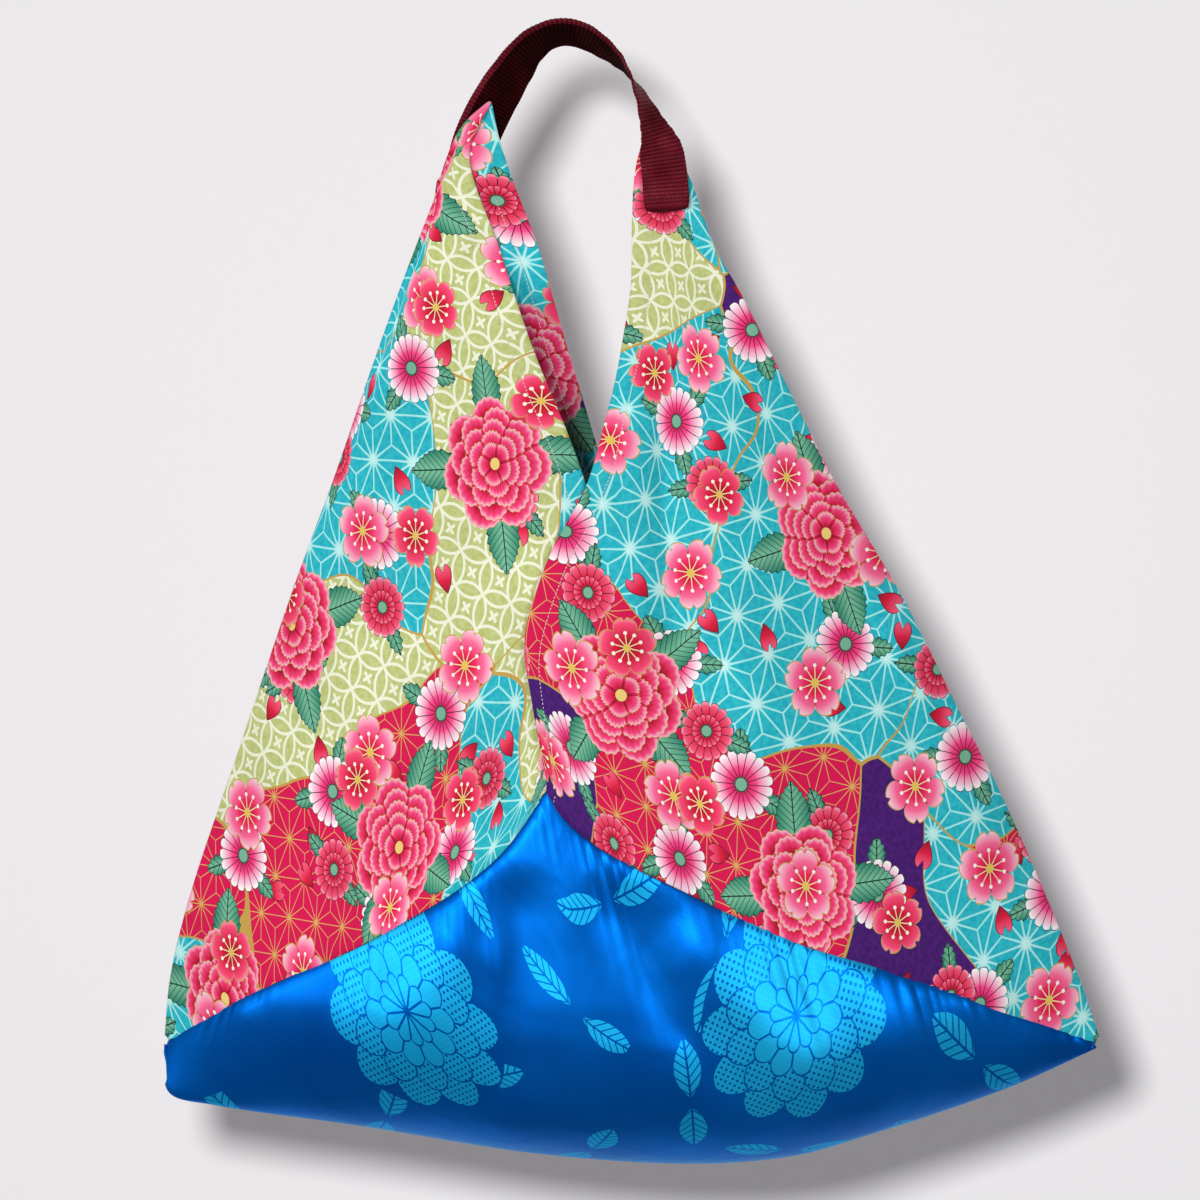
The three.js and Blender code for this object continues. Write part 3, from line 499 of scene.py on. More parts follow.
def mesh_piece(name, points, faces, uvs, material):
    """A smooth mesh object with the given points, faces and UV maps, each one pair per point."""
    mesh = bpy.data.meshes.new(name)
    mesh.from_pydata(points.tolist(), [], faces)
    corners = np.empty(len(mesh.loops), np.int32)
    mesh.loops.foreach_get("vertex_index", corners)
    for label, pairs in uvs.items():
        layer = mesh.uv_layers.new(name=label)
        layer.data.foreach_set("uv", pairs[corners].astype(np.float32).ravel())
    mesh.polygons.foreach_set("use_smooth", np.ones(len(mesh.polygons), bool))
    mesh.materials.append(material)
    mesh.validate()
    piece = bpy.data.objects.new(name, mesh)
    bpy.context.scene.collection.objects.link(piece)
    return piece


def sheet_piece(name, grid, outside, inside, print_turn, print_shift, material):
    """A closed cloth with its two faces at the given distances from the grid."""
    spots, normals, flat, from_hem = (grid[k] for k in ("spots", "normals", "flat", "from_hem"))
    near = np.clip(from_hem / EDGE_ROUND, 0, 1)
    bulge = np.sqrt(np.clip(1 - (1 - near) ** 2, 0, 1))[..., None]
    faces_at = [EDGE_MIDDLE + (d - EDGE_MIDDLE) * bulge for d in (outside, inside)]
    points = np.concatenate([(spots + normals * d).reshape(-1, 3) for d in faces_at])
    index = np.arange(from_hem.size).reshape(from_hem.shape)
    top = quads_of(index)
    under = top[:, [0, 3, 2, 1]] + index.size
    ring = np.concatenate([index[0, :-1], index[:-1, -1], index[-1, :0:-1], index[:0:-1, 0]])
    after = np.roll(ring, -1)
    rim = np.stack([ring, ring + index.size, after + index.size, after], axis=-1)
    faces = np.concatenate([top, under, rim])
    first = top[len(top) // 2]
    facing = np.cross(points[first[1]] - points[first[0]], points[first[3]] - points[first[0]])
    if facing.dot(normals.reshape(-1, 3)[first[0]]) < 0:
        faces = faces[:, ::-1]
    flat = flat.reshape(-1, 2)
    turn = math.radians(print_turn)
    cos, sin = math.cos(turn), math.sin(turn)
    spun = flat @ np.array([[cos, sin], [-sin, cos]]) + print_shift
    uvs = {"print": np.tile(spun, (2, 1)), "flat": np.tile(flat, (2, 1))}
    return mesh_piece(name, points, faces.tolist(), uvs, material)


# Materials


def linear(colour):
    """An sRGB hex colour as the linear values that shaders take."""
    parts = [int(colour[i : i + 2], 16) / 255 for i in (1, 3, 5)]
    return [p / 12.92 if p <= 0.04045 else ((p + 0.055) / 1.055) ** 2.4 for p in parts] + [1]


def plug(socket, value):
    """Links an input to another node's output, or sets it to a value."""
    if isinstance(value, bpy.types.NodeSocket):
        socket.id_data.links.new(value, socket)
    else:
        socket.default_value = linear(value) if isinstance(value, str) else value


def node(tree, kind, *inputs, out=None, ramp=None, **settings):
    """Adds a node, links or sets its inputs in order or by name, and gives back an output.

    kind is a Math operation, or a kind of node, which may end in an operation or data type
    after a dot. A dict in inputs names its sockets.
    """
    kind, _, operation = ("Math." + kind if kind.isupper() else kind).partition(".")
    new = tree.nodes.new("ShaderNode" + kind)
    if operation:
        setattr(new, "data_type" if kind == "Mix" else "operation", operation)
    for name, value in settings.items():
        setattr(new, name, value)
    if ramp:
        elements = new.color_ramp.elements
        while len(elements) < len(ramp):
            elements.new(0.5)
        for element, (position, colour) in zip(elements, ramp):
            element.position, element.color = position, linear(colour)
    sockets = [s for s in new.inputs if s.enabled]
    in_order = iter(sockets)
    for value in inputs:
        if isinstance(value, dict):
            for name, given in value.items():
                plug(next(s for s in sockets if s.name == name), given)
        else:
            plug(next(in_order), value)
    enabled = [s for s in new.outputs if s.enabled]
    return next(s for s in enabled if s.name == out) if out else enabled[0]


def material_with(name):
    """A new material, what adds a node to it, and its principled shader."""
    material = bpy.data.materials.new(name)
    material.use_nodes = True
    tree = material.node_tree
    return material, partial(node, tree), tree.nodes["Principled BSDF"]


def set_inputs(shader, inputs):
    """Links or sets the inputs that are named."""
    for name, value in inputs.items():
        plug(shader.inputs[name], value)


COMPARISONS = {"<": "LESS_THAN", ">": "GREATER_THAN"}


def where(add, *tests):
    """1 where all tests hold, each of them a mask or (value, "<" or ">", limit)."""
    found = None
    for test in tests:
        if isinstance(test, tuple):
            value, sign, limit = test
            test = add(COMPARISONS[sign], value, limit)
        found = test if found is None else add("MULTIPLY", found, test)
    return found


def paint(add, under, *layers):
    """Colours laid over one another, each of them (colour, mask) and only where its mask is 1."""
    for colour, mask in layers:
        under = add("Mix.RGBA", {"Factor": mask, "A": under, "B": colour})
    return under


def millimetres(add, uv_map):
    """The piece's own UV map in millimetres."""
    return add("VectorMath.SCALE", add("UVMap", uv_map=uv_map), {"Scale": 1 / MM})


def tiled(add, p, across, up):
    """The way from the middle of a cell that is twice this wide and high."""
    return add("VectorMath.WRAP", p, (across, up, 0.5), (-across, -up, -0.5))


def polar(add, vector):
    """Length and angle of a vector in the plane."""
    parts = add("SeparateXYZ", vector).node.outputs
    return add("VectorMath.LENGTH", vector), add("ARCTAN2", parts[1], parts[0])


def lengthways(add, reach, angle):
    """How far along a motif's own axis a place lies, and how far to the side of it."""
    side = add("MULTIPLY", reach, add("SINE", angle))
    return add("MULTIPLY", reach, add("COSINE", angle)), add("ABSOLUTE", side)


def woven(add, p, spacing):
    """How the threads of a plain weave rise and fall."""
    wave = add("VectorMath.SINE", add("VectorMath.SCALE", p, {"Scale": 2 * math.pi / spacing}))
    parts = add("SeparateXYZ", wave).node.outputs
    return add("MULTIPLY", parts[0], parts[1])


def star_lines(add, p, pitch, width):
    """Hemp leaf lattice: twelve rays from each lattice point. Gives its lines and its reach."""
    half = (pitch / 2, pitch * math.sqrt(3) / 2)
    one = tiled(add, p, *half)
    two = tiled(add, add("VectorMath.ADD", p, (*half, 0.5)), *half)
    nearer = add("LESS_THAN", add("VectorMath.LENGTH", one), add("VectorMath.LENGTH", two))
    reach, angle = polar(add, add("Mix.VECTOR", nearer, two, one))
    off = add("MULTIPLY", reach, add("PINGPONG", angle, math.pi / 12))
    broad = add("MapRange", reach, 0, pitch / 2, width * 1.5, width)
    return add("LESS_THAN", off, broad), reach


def circle_lines(add, p, pitch, width):
    """Interlocked circles, each passing through the middles of four others."""
    half, lines = pitch / 2, []
    for shift in ((0, 0, 0), (half, half, 0.5)):
        cell = tiled(add, add("VectorMath.ADD", p, shift), half, half)
        off = add("SUBTRACT", add("VectorMath.LENGTH", cell), half)
        lines.append(add("ABSOLUTE", off))
    return where(add, (add("MINIMUM", *lines), "<", width))


def scattered(add, p, cell, wander, seed):
    """One motif in each square of a grid, off its middle: its length, angle and chances."""
    moved = add("VectorMath.ADD", p, (seed * 37.7, seed * 61.3, 0))
    grid = add("VectorMath.SCALE", moved, {"Scale": 1 / cell})
    salted = add("VectorMath.ADD", add("VectorMath.FLOOR", grid), (0, 0, seed + 0.5))
    chance = add("TexWhiteNoise", salted, out="Color", noise_dimensions="3D")
    start = (1 - wander) / 2
    middle = add("VectorMath.MULTIPLY_ADD", chance, (wander, wander, 0), (start, start, 0))
    local = add("VectorMath.SUBTRACT", add("VectorMath.FRACTION", grid), middle)
    chances = add("SeparateXYZ", chance).node.outputs
    reach, angle = polar(add, add("VectorMath.SCALE", local, {"Scale": cell}))
    return reach, add("MULTIPLY_ADD", chances[2], 2 * math.pi, angle), chances


GOLD = "#C9A24A"
PINK_PETALS = [(0.08, "#C4002F"), (0.34, "#F0205F"), (0.66, "#FF6C9C"), (0.88, "#FFBBD0"),
               (1.0, "#FFF0F3")]
RED_PETALS = [(0.08, "#98001F"), (0.42, "#DC0C3C"), (0.8, "#FF4A78"), (1.0, "#FFA6BC")]
FULL_PETALS = [(0.0, "#FFE6EC"), (0.09, "#FFA9BF"), (0.3, "#F7447E"), (0.7, "#DA0A44"),
               (1.0, "#9C0026")]
LOOSE_PETAL = [(0.1, "#A80026"), (0.45, "#E2123F"), (0.9, "#FF5C82")]
PALE_RAYS = [(0.22, "#DE0058"), (0.48, "#FF4B90"), (0.74, "#FFC2D9"), (0.95, "#FFFFFF")]
RED_RAYS = [(0.2, "#8E0024"), (0.55, "#DE1240"), (0.85, "#F5567A"), (1.0, "#FFB1C0")]
LEAF = [(0, "#7CC3A0"), (0.9, "#2F8A6E")]
LEAF_LINE = "#0E3B33"
FAR_AWAY = 400  # millimetres by which a motif that isn't wanted is moved off


def leaves(add, under, reach, angle, size, shown, count=3, turn=0.4):
    """Pointed leaves round a flower, with a dark outline and herringbone veins."""
    reach = add("ADD", reach, add("MULTIPLY_ADD", shown, -FAR_AWAY, FAR_AWAY))
    sector = math.pi / count
    wrapped = add("WRAP", add("ADD", angle, turn), sector, -sector)
    along, side = lengthways(add, reach, wrapped)
    near, far, width = 0.55 * size, 1.72 * size, 0.3 * size
    share = add("MULTIPLY_ADD", along, 1 / (far - near), -near / (far - near))
    swell = add("MULTIPLY", share, add("SUBTRACT", 1, share))
    swell = add("MULTIPLY", swell, 4.2 * width)
    teeth = add("PINGPONG", add("MULTIPLY_ADD", side, -0.8, along), 2.6)
    teeth = add("MULTIPLY_ADD", teeth, 0.55, -0.9)
    left = add("SUBTRACT", add("ADD", swell, teeth), side)
    green = add("ValToRGB", add("MULTIPLY", side, 1 / width), ramp=LEAF)
    slant = add("PINGPONG", add("SUBTRACT", along, side), 2.1)
    vein = add("MAXIMUM", where(add, (slant, "<", 0.28)), where(add, (side, "<", 0.42)))
    body = where(add, (left, ">", 0.6))
    return paint(add, under, (LEAF_LINE, where(add, (left, ">", 0))), (green, body),
                 (LEAF_LINE, where(add, body, vein)))


def blossom(add, under, reach, angle, size, hues, shown):
    """A flower of five notched petals with a gold outline and stamens."""
    fifth = math.pi / 5
    fold = add("PINGPONG", angle, fifth)
    off = add("MULTIPLY", fold, 1 / fifth)
    bow = add("ADD", 1.0, add("MULTIPLY", off, add("SUBTRACT", 1, off)))
    bow = add("SQRT", add("MULTIPLY_ADD", off, -1, bow))
    edge = add("MULTIPLY_ADD", bow, 0.44 * size, 0.56 * size)
    notch = add("MAXIMUM", add("MULTIPLY_ADD", off, -0.9 * size, 0.13 * size), 0)
    left = add("SUBTRACT", add("SUBTRACT", edge, notch), reach)
    petals = add("ValToRGB", add("MULTIPLY", reach, 1 / size), ramp=hues)
    gap = add("MULTIPLY", reach, add("SUBTRACT", fifth, fold))
    ray = add("MULTIPLY", reach, add("PINGPONG", angle, math.pi / 10))
    off_ring = add("SUBTRACT", reach, 0.48 * size)
    bead = add("MULTIPLY", off_ring, off_ring)
    bead = add("ADD", add("MULTIPLY", ray, ray), bead)
    body = where(add, (left, ">", 0.75), shown)
    return paint(
        add, under,
        (GOLD, where(add, (left, ">", 0), shown)),
        (petals, body),
        ("#B3123A", where(add, (gap, "<", 0.5), body)),
        ("#FFE9B0", where(add, (ray, "<", 0.3), (reach, "<", 0.44 * size), shown)),
        ("#FFFBEF", where(add, (bead, "<", 1.2), shown)),
        ("#E9C65A", where(add, (reach, "<", 0.12 * size), shown)),
    )


def petal_ring(add, reach, angle, size, count, turn, blunt, squarish=False, frill=None):
    """A ring of petals: how far a place lies inside their edge, and how far off their sides."""
    step = math.pi / count
    fold = add("PINGPONG", add("ADD", angle, turn), step)
    off = add("MULTIPLY", fold, 1 / step)
    bow = add("MULTIPLY", off, off)
    if squarish:
        bow = add("MULTIPLY", bow, bow)
    edge = add("MULTIPLY_ADD", bow, -blunt * size, size)
    if frill:
        edge = add("ADD", edge, frill)
    gap = add("MULTIPLY", reach, add("SUBTRACT", step, fold))
    return add("SUBTRACT", edge, reach), gap


def many_petals(add, under, reach, angle, size, hues, shown, line, count, rings):
    """A round flower of rings of narrow petals about a green heart."""
    for share, turn, blunt in ((1.0, 0, 0.2), (0.56, math.pi / count, 0.3))[:rings]:
        ring = size * share
        left, gap = petal_ring(add, reach, angle, ring, count, turn, blunt, squarish=True)
        petals = add("ValToRGB", add("MULTIPLY", reach, 1 / ring), ramp=hues)
        body = where(add, (left, ">", 0.45), shown)
        under = paint(add, under, (line, where(add, (left, ">", 0), shown)), (petals, body),
                      (line, where(add, (gap, "<", 0.26), body)))
    return paint(add, under, ("#1F4A3E", where(add, (reach, "<", 0.22 * size), shown)),
                 ("#79B597", where(add, (reach, "<", 0.18 * size), shown)))


def ruffled(add, under, reach, angle, size, shown):
    """A large full flower: rings of broad petals, pale at their frilled edges."""
    frill = add("SINE", add("MULTIPLY", angle, 43))
    frill = add("MULTIPLY", frill, 0.012 * size)
    for share, count, turn in ((1.0, 7, 0.0), (0.84, 8, 0.42), (0.67, 7, 0.1), (0.5, 6, 0.7),
                               (0.33, 5, 0.2)):
        left, gap = petal_ring(add, reach, angle, size * share, count, turn, 0.17, frill=frill)
        split = add("MULTIPLY", where(add, (gap, "<", 0.9)), 0.5)
        deep = add("MULTIPLY_ADD", left, 1 / (0.26 * size), split)
        petals = add("ValToRGB", deep, ramp=FULL_PETALS)
        under = paint(add, under, (GOLD, where(add, (left, ">", 0), shown)),
                      (petals, where(add, (left, ">", 0.4), shown)))
    return paint(add, under, ("#F1D27A", where(add, (reach, "<", 0.09 * size), shown)))


cloth_material, add, cotton = material_with("printed_cotton_plain_weave")
p = millimetres(add, "print")

# Grounds: curved fields of four colours, three with a common lattice, parted by gold lines
FIELD_SIZE = 150
drift = add("TexNoise", p, {"Scale": 1 / 120, "Detail": 1.0}, out="Color", noise_dimensions="2D")
drift = add("VectorMath.SUBTRACT", drift, (0.5, 0.5, 0.5))
drift = add("VectorMath.MULTIPLY_ADD", drift, (105, 105, 0), p)
pick = add("TexVoronoi", drift, {"Scale": 1 / FIELD_SIZE}, out="Color", voronoi_dimensions="2D")
pick = add("SeparateXYZ", pick)
border = add("TexVoronoi", drift, {"Scale": 1 / FIELD_SIZE}, out="Distance",
             voronoi_dimensions="2D", feature="DISTANCE_TO_EDGE")
border = add("MULTIPLY", border, FIELD_SIZE)

mottle = add("TexNoise", p, {"Scale": 1 / 3.2, "Detail": 3.0}, noise_dimensions="2D")
uneven = add("MapRange", mottle, 0.35, 0.65, 0, 1)
line, reach = star_lines(add, p, 30, 0.5)
glow = add("MapRange", add("MULTIPLY_ADD", mottle, 5, reach), 3.6, 7.5, 0.8, 0)
turquoise = paint(add, "#10B0C3", ("#35C6CF", add("MapRange", mottle, 0.35, 0.65, 0, 0.7)),
                  ("#A9EEEC", line), ("#CFF8F4", glow))

line = circle_lines(add, p, 28, 0.85)
reach, angle = polar(add, tiled(add, p, 7, 7))
floret = add("COSINE", add("MULTIPLY", angle, 4))
floret = add("SUBTRACT", add("MULTIPLY_ADD", floret, 1.3, 2.6), reach)
line = add("MAXIMUM", line, where(add, (floret, ">", 0)))
celery = paint(add, "#B9C374", ("#C9D08C", uneven), ("#F1F4DA", line))

purple = paint(add, "#3C0765", ("#4E0F78", uneven))
line, _ = star_lines(add, add("VectorMath.ADD", p, (11, 5, 0)), 25, 0.2)
crimson = paint(add, "#DC0050", ("#DDB45E", line))

ground = paint(
    add, turquoise,
    (celery, where(add, (pick, ">", 0.44))),
    (crimson, where(add, (pick, ">", 0.66))),
    (purple, where(add, (pick, ">", 0.86))),
    (GOLD, where(add, (border, "<", 0.7))),
)

# Loose petals, notched at their broad end
for cell_size, seed in ((52, 3), (71, 14)):
    reach, angle, chances = scattered(add, p, cell_size, 0.7, seed)
    along, side = lengthways(add, reach, angle)
    share = add("MULTIPLY_ADD", along, 1 / 17, 0.5)
    share = add("MINIMUM", add("MAXIMUM", share, 0), 1)
    swell = add("MULTIPLY", share, add("SQRT", add("SUBTRACT", 1, share)))
    notch = add("MAXIMUM", add("MULTIPLY_ADD", side, -1.9, 4.6), 0)
    notch = add("SUBTRACT", add("SUBTRACT", 8.4, along), notch)
    left = add("SUBTRACT", add("MULTIPLY", swell, 15.5), side)
    left = add("MINIMUM", notch, left)
    some = where(add, (chances[0], ">", 0.4))
    ground = paint(add, ground, ("#6A001C", where(add, (left, ">", 0), some)),
                   (add("ValToRGB", share, ramp=LOOSE_PETAL), where(add, (left, ">", 0.6), some)))

# Flowers, each kind laid over the ones before it, the first three with leaves
reach, angle, chances = scattered(add, p, 92, 0.42, 7)
some = where(add, (chances[1], ">", 0.18))
ground = leaves(add, ground, reach, angle, 19, some)
ground = many_petals(add, ground, reach, angle, 20, PALE_RAYS, some, "#5A1230", 18, 1)

reach, angle, chances = scattered(add, p, 104, 0.42, 12)
some = where(add, (chances[0], ">", 0.12))
ground = leaves(add, ground, reach, angle, 17, some, 2)
ground = many_petals(add, ground, reach, angle, 17, RED_RAYS, some, "#5E0018", 16, 2)

reach, angle, chances = scattered(add, p, 170, 0.36, 5)
some = where(add, (chances[1], ">", 0.2))
ground = leaves(add, ground, reach, angle, 36, some, 4, 0.2)
ground = ruffled(add, ground, reach, angle, 38, some)

for cell_size, wander, seed, size, hues in ((88, 0.4, 21, 21, PINK_PETALS),
                                            (118, 0.5, 33, 18, RED_PETALS)):
    reach, angle, chances = scattered(add, p, cell_size, wander, seed)
    some = where(add, (chances[0], ">", 0.16))
    ground = blossom(add, ground, reach, angle, size, hues, some)

# Plain woven cotton scatters light evenly, with a faint grain of threads half a millimetre
# apart and soft small creases.
crumple = add("TexNoise", p, {"Scale": 1 / 22, "Detail": 4.0, "Roughness": 0.5},
              noise_dimensions="2D")
grain = add("Bump", {"Strength": 0.35, "Distance": 0.06 * MM, "Height": woven(add, p, 0.62)})
fade = add("TexNoise", p, {"Scale": 1 / 60, "Detail": 2.0}, noise_dimensions="2D")
fade = add("MapRange", fade, 0.3, 0.7, 0.94, 1.04)
set_inputs(cotton, {
    "Base Color": add("HueSaturation", {"Color": ground, "Value": fade}),
    "Normal": add("Bump", {"Strength": 0.5, "Distance": 1.1 * MM, "Height": crumple,
                           "Normal": grain}),
    "Roughness": 0.78,
    "Specular IOR Level": 0.3,
    "Sheen Weight": 0.12,
    "Sheen Roughness": 0.4,
})


FLOWER_CELL = 180  # the woven flowers lie on every other square of this grid
FLOWER_SHIFT = (56.3, 232.7, 0)
FLOWER_SIZE = 62
FLOWER_PETALS = 11


def satin_material(name, deep, bright, gloss):
    """Satin weave with flowers and leaves woven tone on tone: long floats give it its gloss."""
    material, add, satin = material_with(name)
    p = millimetres(add, "flat")
    dotted = where(add, (add("VectorMath.LENGTH", tiled(add, p, 1.7, 1.7)), ">", 0.85))
    placed = add("VectorMath.ADD", p, FLOWER_SHIFT)
    reach, angle, _ = scattered(add, placed, FLOWER_CELL, 0, 0)
    square = add("VectorMath.SCALE", placed, {"Scale": 1 / FLOWER_CELL})
    square = add("VectorMath.DOT_PRODUCT", add("VectorMath.FLOOR", square), (1, 1, 0))
    odd = add("PINGPONG", square, 1)
    reach = add("MULTIPLY_ADD", odd, FAR_AWAY, reach)
    pattern = None
    for share, shift in ((1.0, 0), (0.76, 1), (0.52, 0), (0.3, 1)):
        left, gap = petal_ring(add, reach, angle, FLOWER_SIZE * share, FLOWER_PETALS,
                               shift * math.pi / FLOWER_PETALS, 0.2)
        fill = where(add, (left, ">", 1.1), (gap, ">", 0.6), dotted if share > 0.6 else 1.0)
        if pattern is None:
            pattern = fill
        else:
            pattern = add("Mix.FLOAT", where(add, (left, ">", 0)), pattern, fill)
    leaf_reach, leaf_angle, _ = scattered(add, p, 92, 0.3, 9)
    wrapped = add("WRAP", leaf_angle, math.pi / 2, -math.pi / 2)
    along, side = lengthways(add, leaf_reach, wrapped)
    share = add("MULTIPLY_ADD", along, 1 / 40, -0.1)
    swell = add("MULTIPLY", share, add("SUBTRACT", 1, share))
    left = add("SUBTRACT", add("MULTIPLY", swell, 34), side)
    slant = add("PINGPONG", add("SUBTRACT", along, side), 3.0)
    leaf = where(add, (left, ">", 0), (reach, ">", FLOWER_SIZE), (side, ">", 0.7),
                 (slant, ">", 0.6))
    pattern = add("MAXIMUM", pattern, leaf)
    grid = add("VectorMath.ABSOLUTE", tiled(add, p, 1.3, 1.3))
    grid = add("SeparateXYZ", grid).node.outputs
    checks = where(add, (add("MINIMUM", grid[0], grid[1]), "<", 0.16))
    # Broad noise mixes the deep and the bright blue, and the two cyans of the woven flowers: a
    # random tone of the weave that is also partly painted sheen
    tone = add("TexNoise", p, {"Scale": 1 / 90, "Detail": 2.0}, noise_dimensions="2D")
    figured = add("Mix.RGBA", {"Factor": tone, "A": "#12B2F0", "B": "#2CCEFF"})
    colour = add("Mix.RGBA", {"Factor": tone, "A": deep, "B": bright})
    colour = paint(add, colour, (figured, add("MULTIPLY", pattern, 0.85)))
    shade = add("MapRange", checks, 0, 1, 1.0, 0.86)
    crumple = add("TexNoise", p, {"Scale": 1 / 55, "Detail": 2.0, "Distortion": 0.3},
                  noise_dimensions="2D")
    relief = add("MULTIPLY_ADD", checks, -0.2, pattern)
    fine = add("Bump", {"Strength": 0.25, "Distance": 0.12 * MM, "Height": relief})
    set_inputs(satin, {
        "Base Color": add("HueSaturation", {"Color": colour, "Value": shade}),
        "Roughness": add("MapRange", pattern, 0, 1, gloss, gloss + 0.12),
        "Normal": add("Bump", {"Strength": 0.5, "Distance": 2.5 * MM, "Height": crumple,
                               "Normal": fine}),
        "Tangent": add("Tangent", direction_type="UV_MAP", uv_map="flat"),
        "Anisotropic": 0.2,
        "Metallic": 0.65,
        "Specular Tint": "#2AD4FF",
        "Specular IOR Level": 0.25,
        "Sheen Weight": 0.2,
        "Sheen Roughness": 0.35,
        "Sheen Tint": "#18BCFF",
    })
    return material


def lining_material(name, dark, light, roughness):
    """Plain dyed weave: matt, with threads half a millimetre apart and a slight unevenness."""
    material, add, weave = material_with(name)
    p = millimetres(add, "flat")
    threads = woven(add, p, 0.7)
    tone = add("TexNoise", p, {"Scale": 1 / 14, "Detail": 5.0, "Roughness": 0.6},
               noise_dimensions="2D")
    tone = add("MULTIPLY_ADD", threads, 0.12, tone)
    set_inputs(weave, {
        "Base Color": add("ValToRGB", tone, ramp=[(0.3, dark), (0.72, light)]),
        "Normal": add("Bump", {"Strength": 0.5, "Distance": 0.15 * MM, "Height": threads}),
        "Roughness": roughness,
        "Sheen Weight": 0.25,
    })
    return material


OUTER_RIBS = [(0.18, "#33070E"), (0.5, "#661725"), (0.72, "#7F2733"), (0.95, "#B4683F")]
# Painted shade: the darker colours that the webbing's underside takes
SHADED_UNDERSIDE_RIBS = [(0.3, "#120102"), (0.6, "#2C0608"), (0.95, "#601C18")]


def webbing_material(name):
    """Ribbed cotton webbing: thick weft ribs under a close warp, matt, with fine pale fibres, and
    painted shade on its underside.
    """
    material, add, weave = material_with(name)
    p = millimetres(add, "flat")
    along, across, _ = add("SeparateXYZ", p).node.outputs
    rib = add("SINE", add("MULTIPLY", along, 2 * math.pi * MM / RIB_PITCH))
    cord = add("SINE", add("MULTIPLY", across, 2 * math.pi / 1.15))
    twist = add("MULTIPLY_ADD", along, 2 * math.pi / 0.75, add("MULTIPLY", cord, 1.2))
    fuzz = add("TexNoise", p, {"Scale": 1.3, "Detail": 6.0, "Roughness": 0.75},
               noise_dimensions="2D")
    slow = add("TexNoise", p, {"Scale": 1 / 18, "Detail": 3.0}, noise_dimensions="2D")
    tone = add("MULTIPLY_ADD", fuzz, 0.7, add("MULTIPLY_ADD", slow, 0.5, -0.12))
    tone = add("MULTIPLY_ADD", cord, 0.07, add("MULTIPLY_ADD", rib, 0.13, tone))
    # Painted shade on the underside, except for a band of painted light along its outer edge,
    # where a curl of the webbing would catch the light
    lit_edge_band = add("MULTIPLY_ADD", slow, 2.0, across)
    lit_edge_band = where(add, (lit_edge_band, "<", (UNDERSIDE - LIT_EDGE_REACH) / MM + 1))
    inside = where(add, (across, ">", UNDERSIDE / MM / 2), add("SUBTRACT", 1, lit_edge_band))
    outer = add("ValToRGB", tone, ramp=OUTER_RIBS)
    inner = add("ValToRGB", tone, ramp=SHADED_UNDERSIDE_RIBS)
    height = add("MULTIPLY_ADD", add("SINE", twist), 0.4,
                 add("MULTIPLY", fuzz, 1.2))
    height = add("MULTIPLY_ADD", cord, 0.6, height)
    set_inputs(weave, {
        "Base Color": paint(add, outer, (inner, inside)),
        "Normal": add("Bump", {"Strength": 0.7, "Distance": 0.22 * MM, "Height": height}),
        "Roughness": 0.9,
        "Specular IOR Level": 0.03,
    })
    return material


def thread_material(name, dark, light):
    """Spun polyester sewing thread: two twisted plies with a slight gloss."""
    material, add, thread = material_with(name)
    along, round_it, _ = add("SeparateXYZ", millimetres(add, "flat")).node.outputs
    spiral = add("ADD", add("MULTIPLY", along, 2 * math.pi / 0.6), round_it)
    ply = add("SINE", spiral)
    tone = add("MapRange", ply, -1, 1, 0, 1)
    set_inputs(thread, {
        "Base Color": add("Mix.RGBA", {"Factor": tone, "A": dark, "B": light}),
        "Normal": add("Bump", {"Strength": 0.6, "Distance": 0.1 * MM, "Height": ply}),
        "Roughness": 0.5,
    })
    return material


base_material = satin_material("blue_satin_jacquard", "#0148A4", "#0474DC", 0.36)
base_lining_material = lining_material("blue_cotton_lining", "#0B3F86", "#1257A8", 0.8)
strap_material = webbing_material("burgundy_ribbed_webbing")
white_thread = thread_material("white_polyester_thread", "#D5D0C4", "#F6F3EA")
burgundy_thread = thread_material("burgundy_polyester_thread", "#3A0A12", "#6A1C28")


# The cloth pieces


left_front_seam, right_front_seam = Outline(LEFT_FRONT_SEAM), Outline(RIGHT_FRONT_SEAM)
left_back_seam, right_back_seam = Outline(LEFT_BACK_SEAM), Outline(RIGHT_BACK_SEAM)
left_halves = [
    panel_half(left_front_seam, left_side, Outline(LEFT_FRONT_OPENING), True, -1, 21),
    panel_half(left_back_seam, left_side, Outline(LEFT_BACK_OPENING), False, -1, 23),
]
right_halves = [
    panel_half(right_front_seam, right_side, Outline(RIGHT_FRONT_OPENING), True, 1, 22),
    panel_half(right_back_seam, right_side, Outline(RIGHT_BACK_OPENING), False, 1, 24),
]
left_grid = panel_grid(left_halves, left_side, -1)
right_grid = panel_grid(right_halves, right_side, 1)
bottom_grid = base_grid(left_front_seam, right_front_seam, left_back_seam, right_back_seam)

# How the print lies on each cloth: its turn in degrees and its shift in metres, and how far
# it is turned and moved from there on the lining
LINING_TURN, LINING_SHIFT = 74, 5
cloth = {}
for name, grid, turn, shift, outer, inner in (
    ("left_panel", left_grid, -100, (5.52, 4.62), cloth_material, cloth_material),
    ("right_panel", right_grid, 152, (2.63, 1.04), cloth_material, cloth_material),
    ("base_panel", bottom_grid, 0, (0, 0), base_material, base_lining_material),
):
    cloth[name] = sheet_piece(
        name + "_cloth", grid, PANEL_OUTSIDE, PANEL_INSIDE, turn, shift, outer
    )
    cloth[name + "_lining"] = sheet_piece(
        name + "_lining_cloth", grid, LINING_OUTSIDE, LINING_INSIDE, turn + LINING_TURN,
        (shift[0] + LINING_SHIFT, shift[1]), inner,
    )


# Stitches: rounded lengths of thread laid end to end


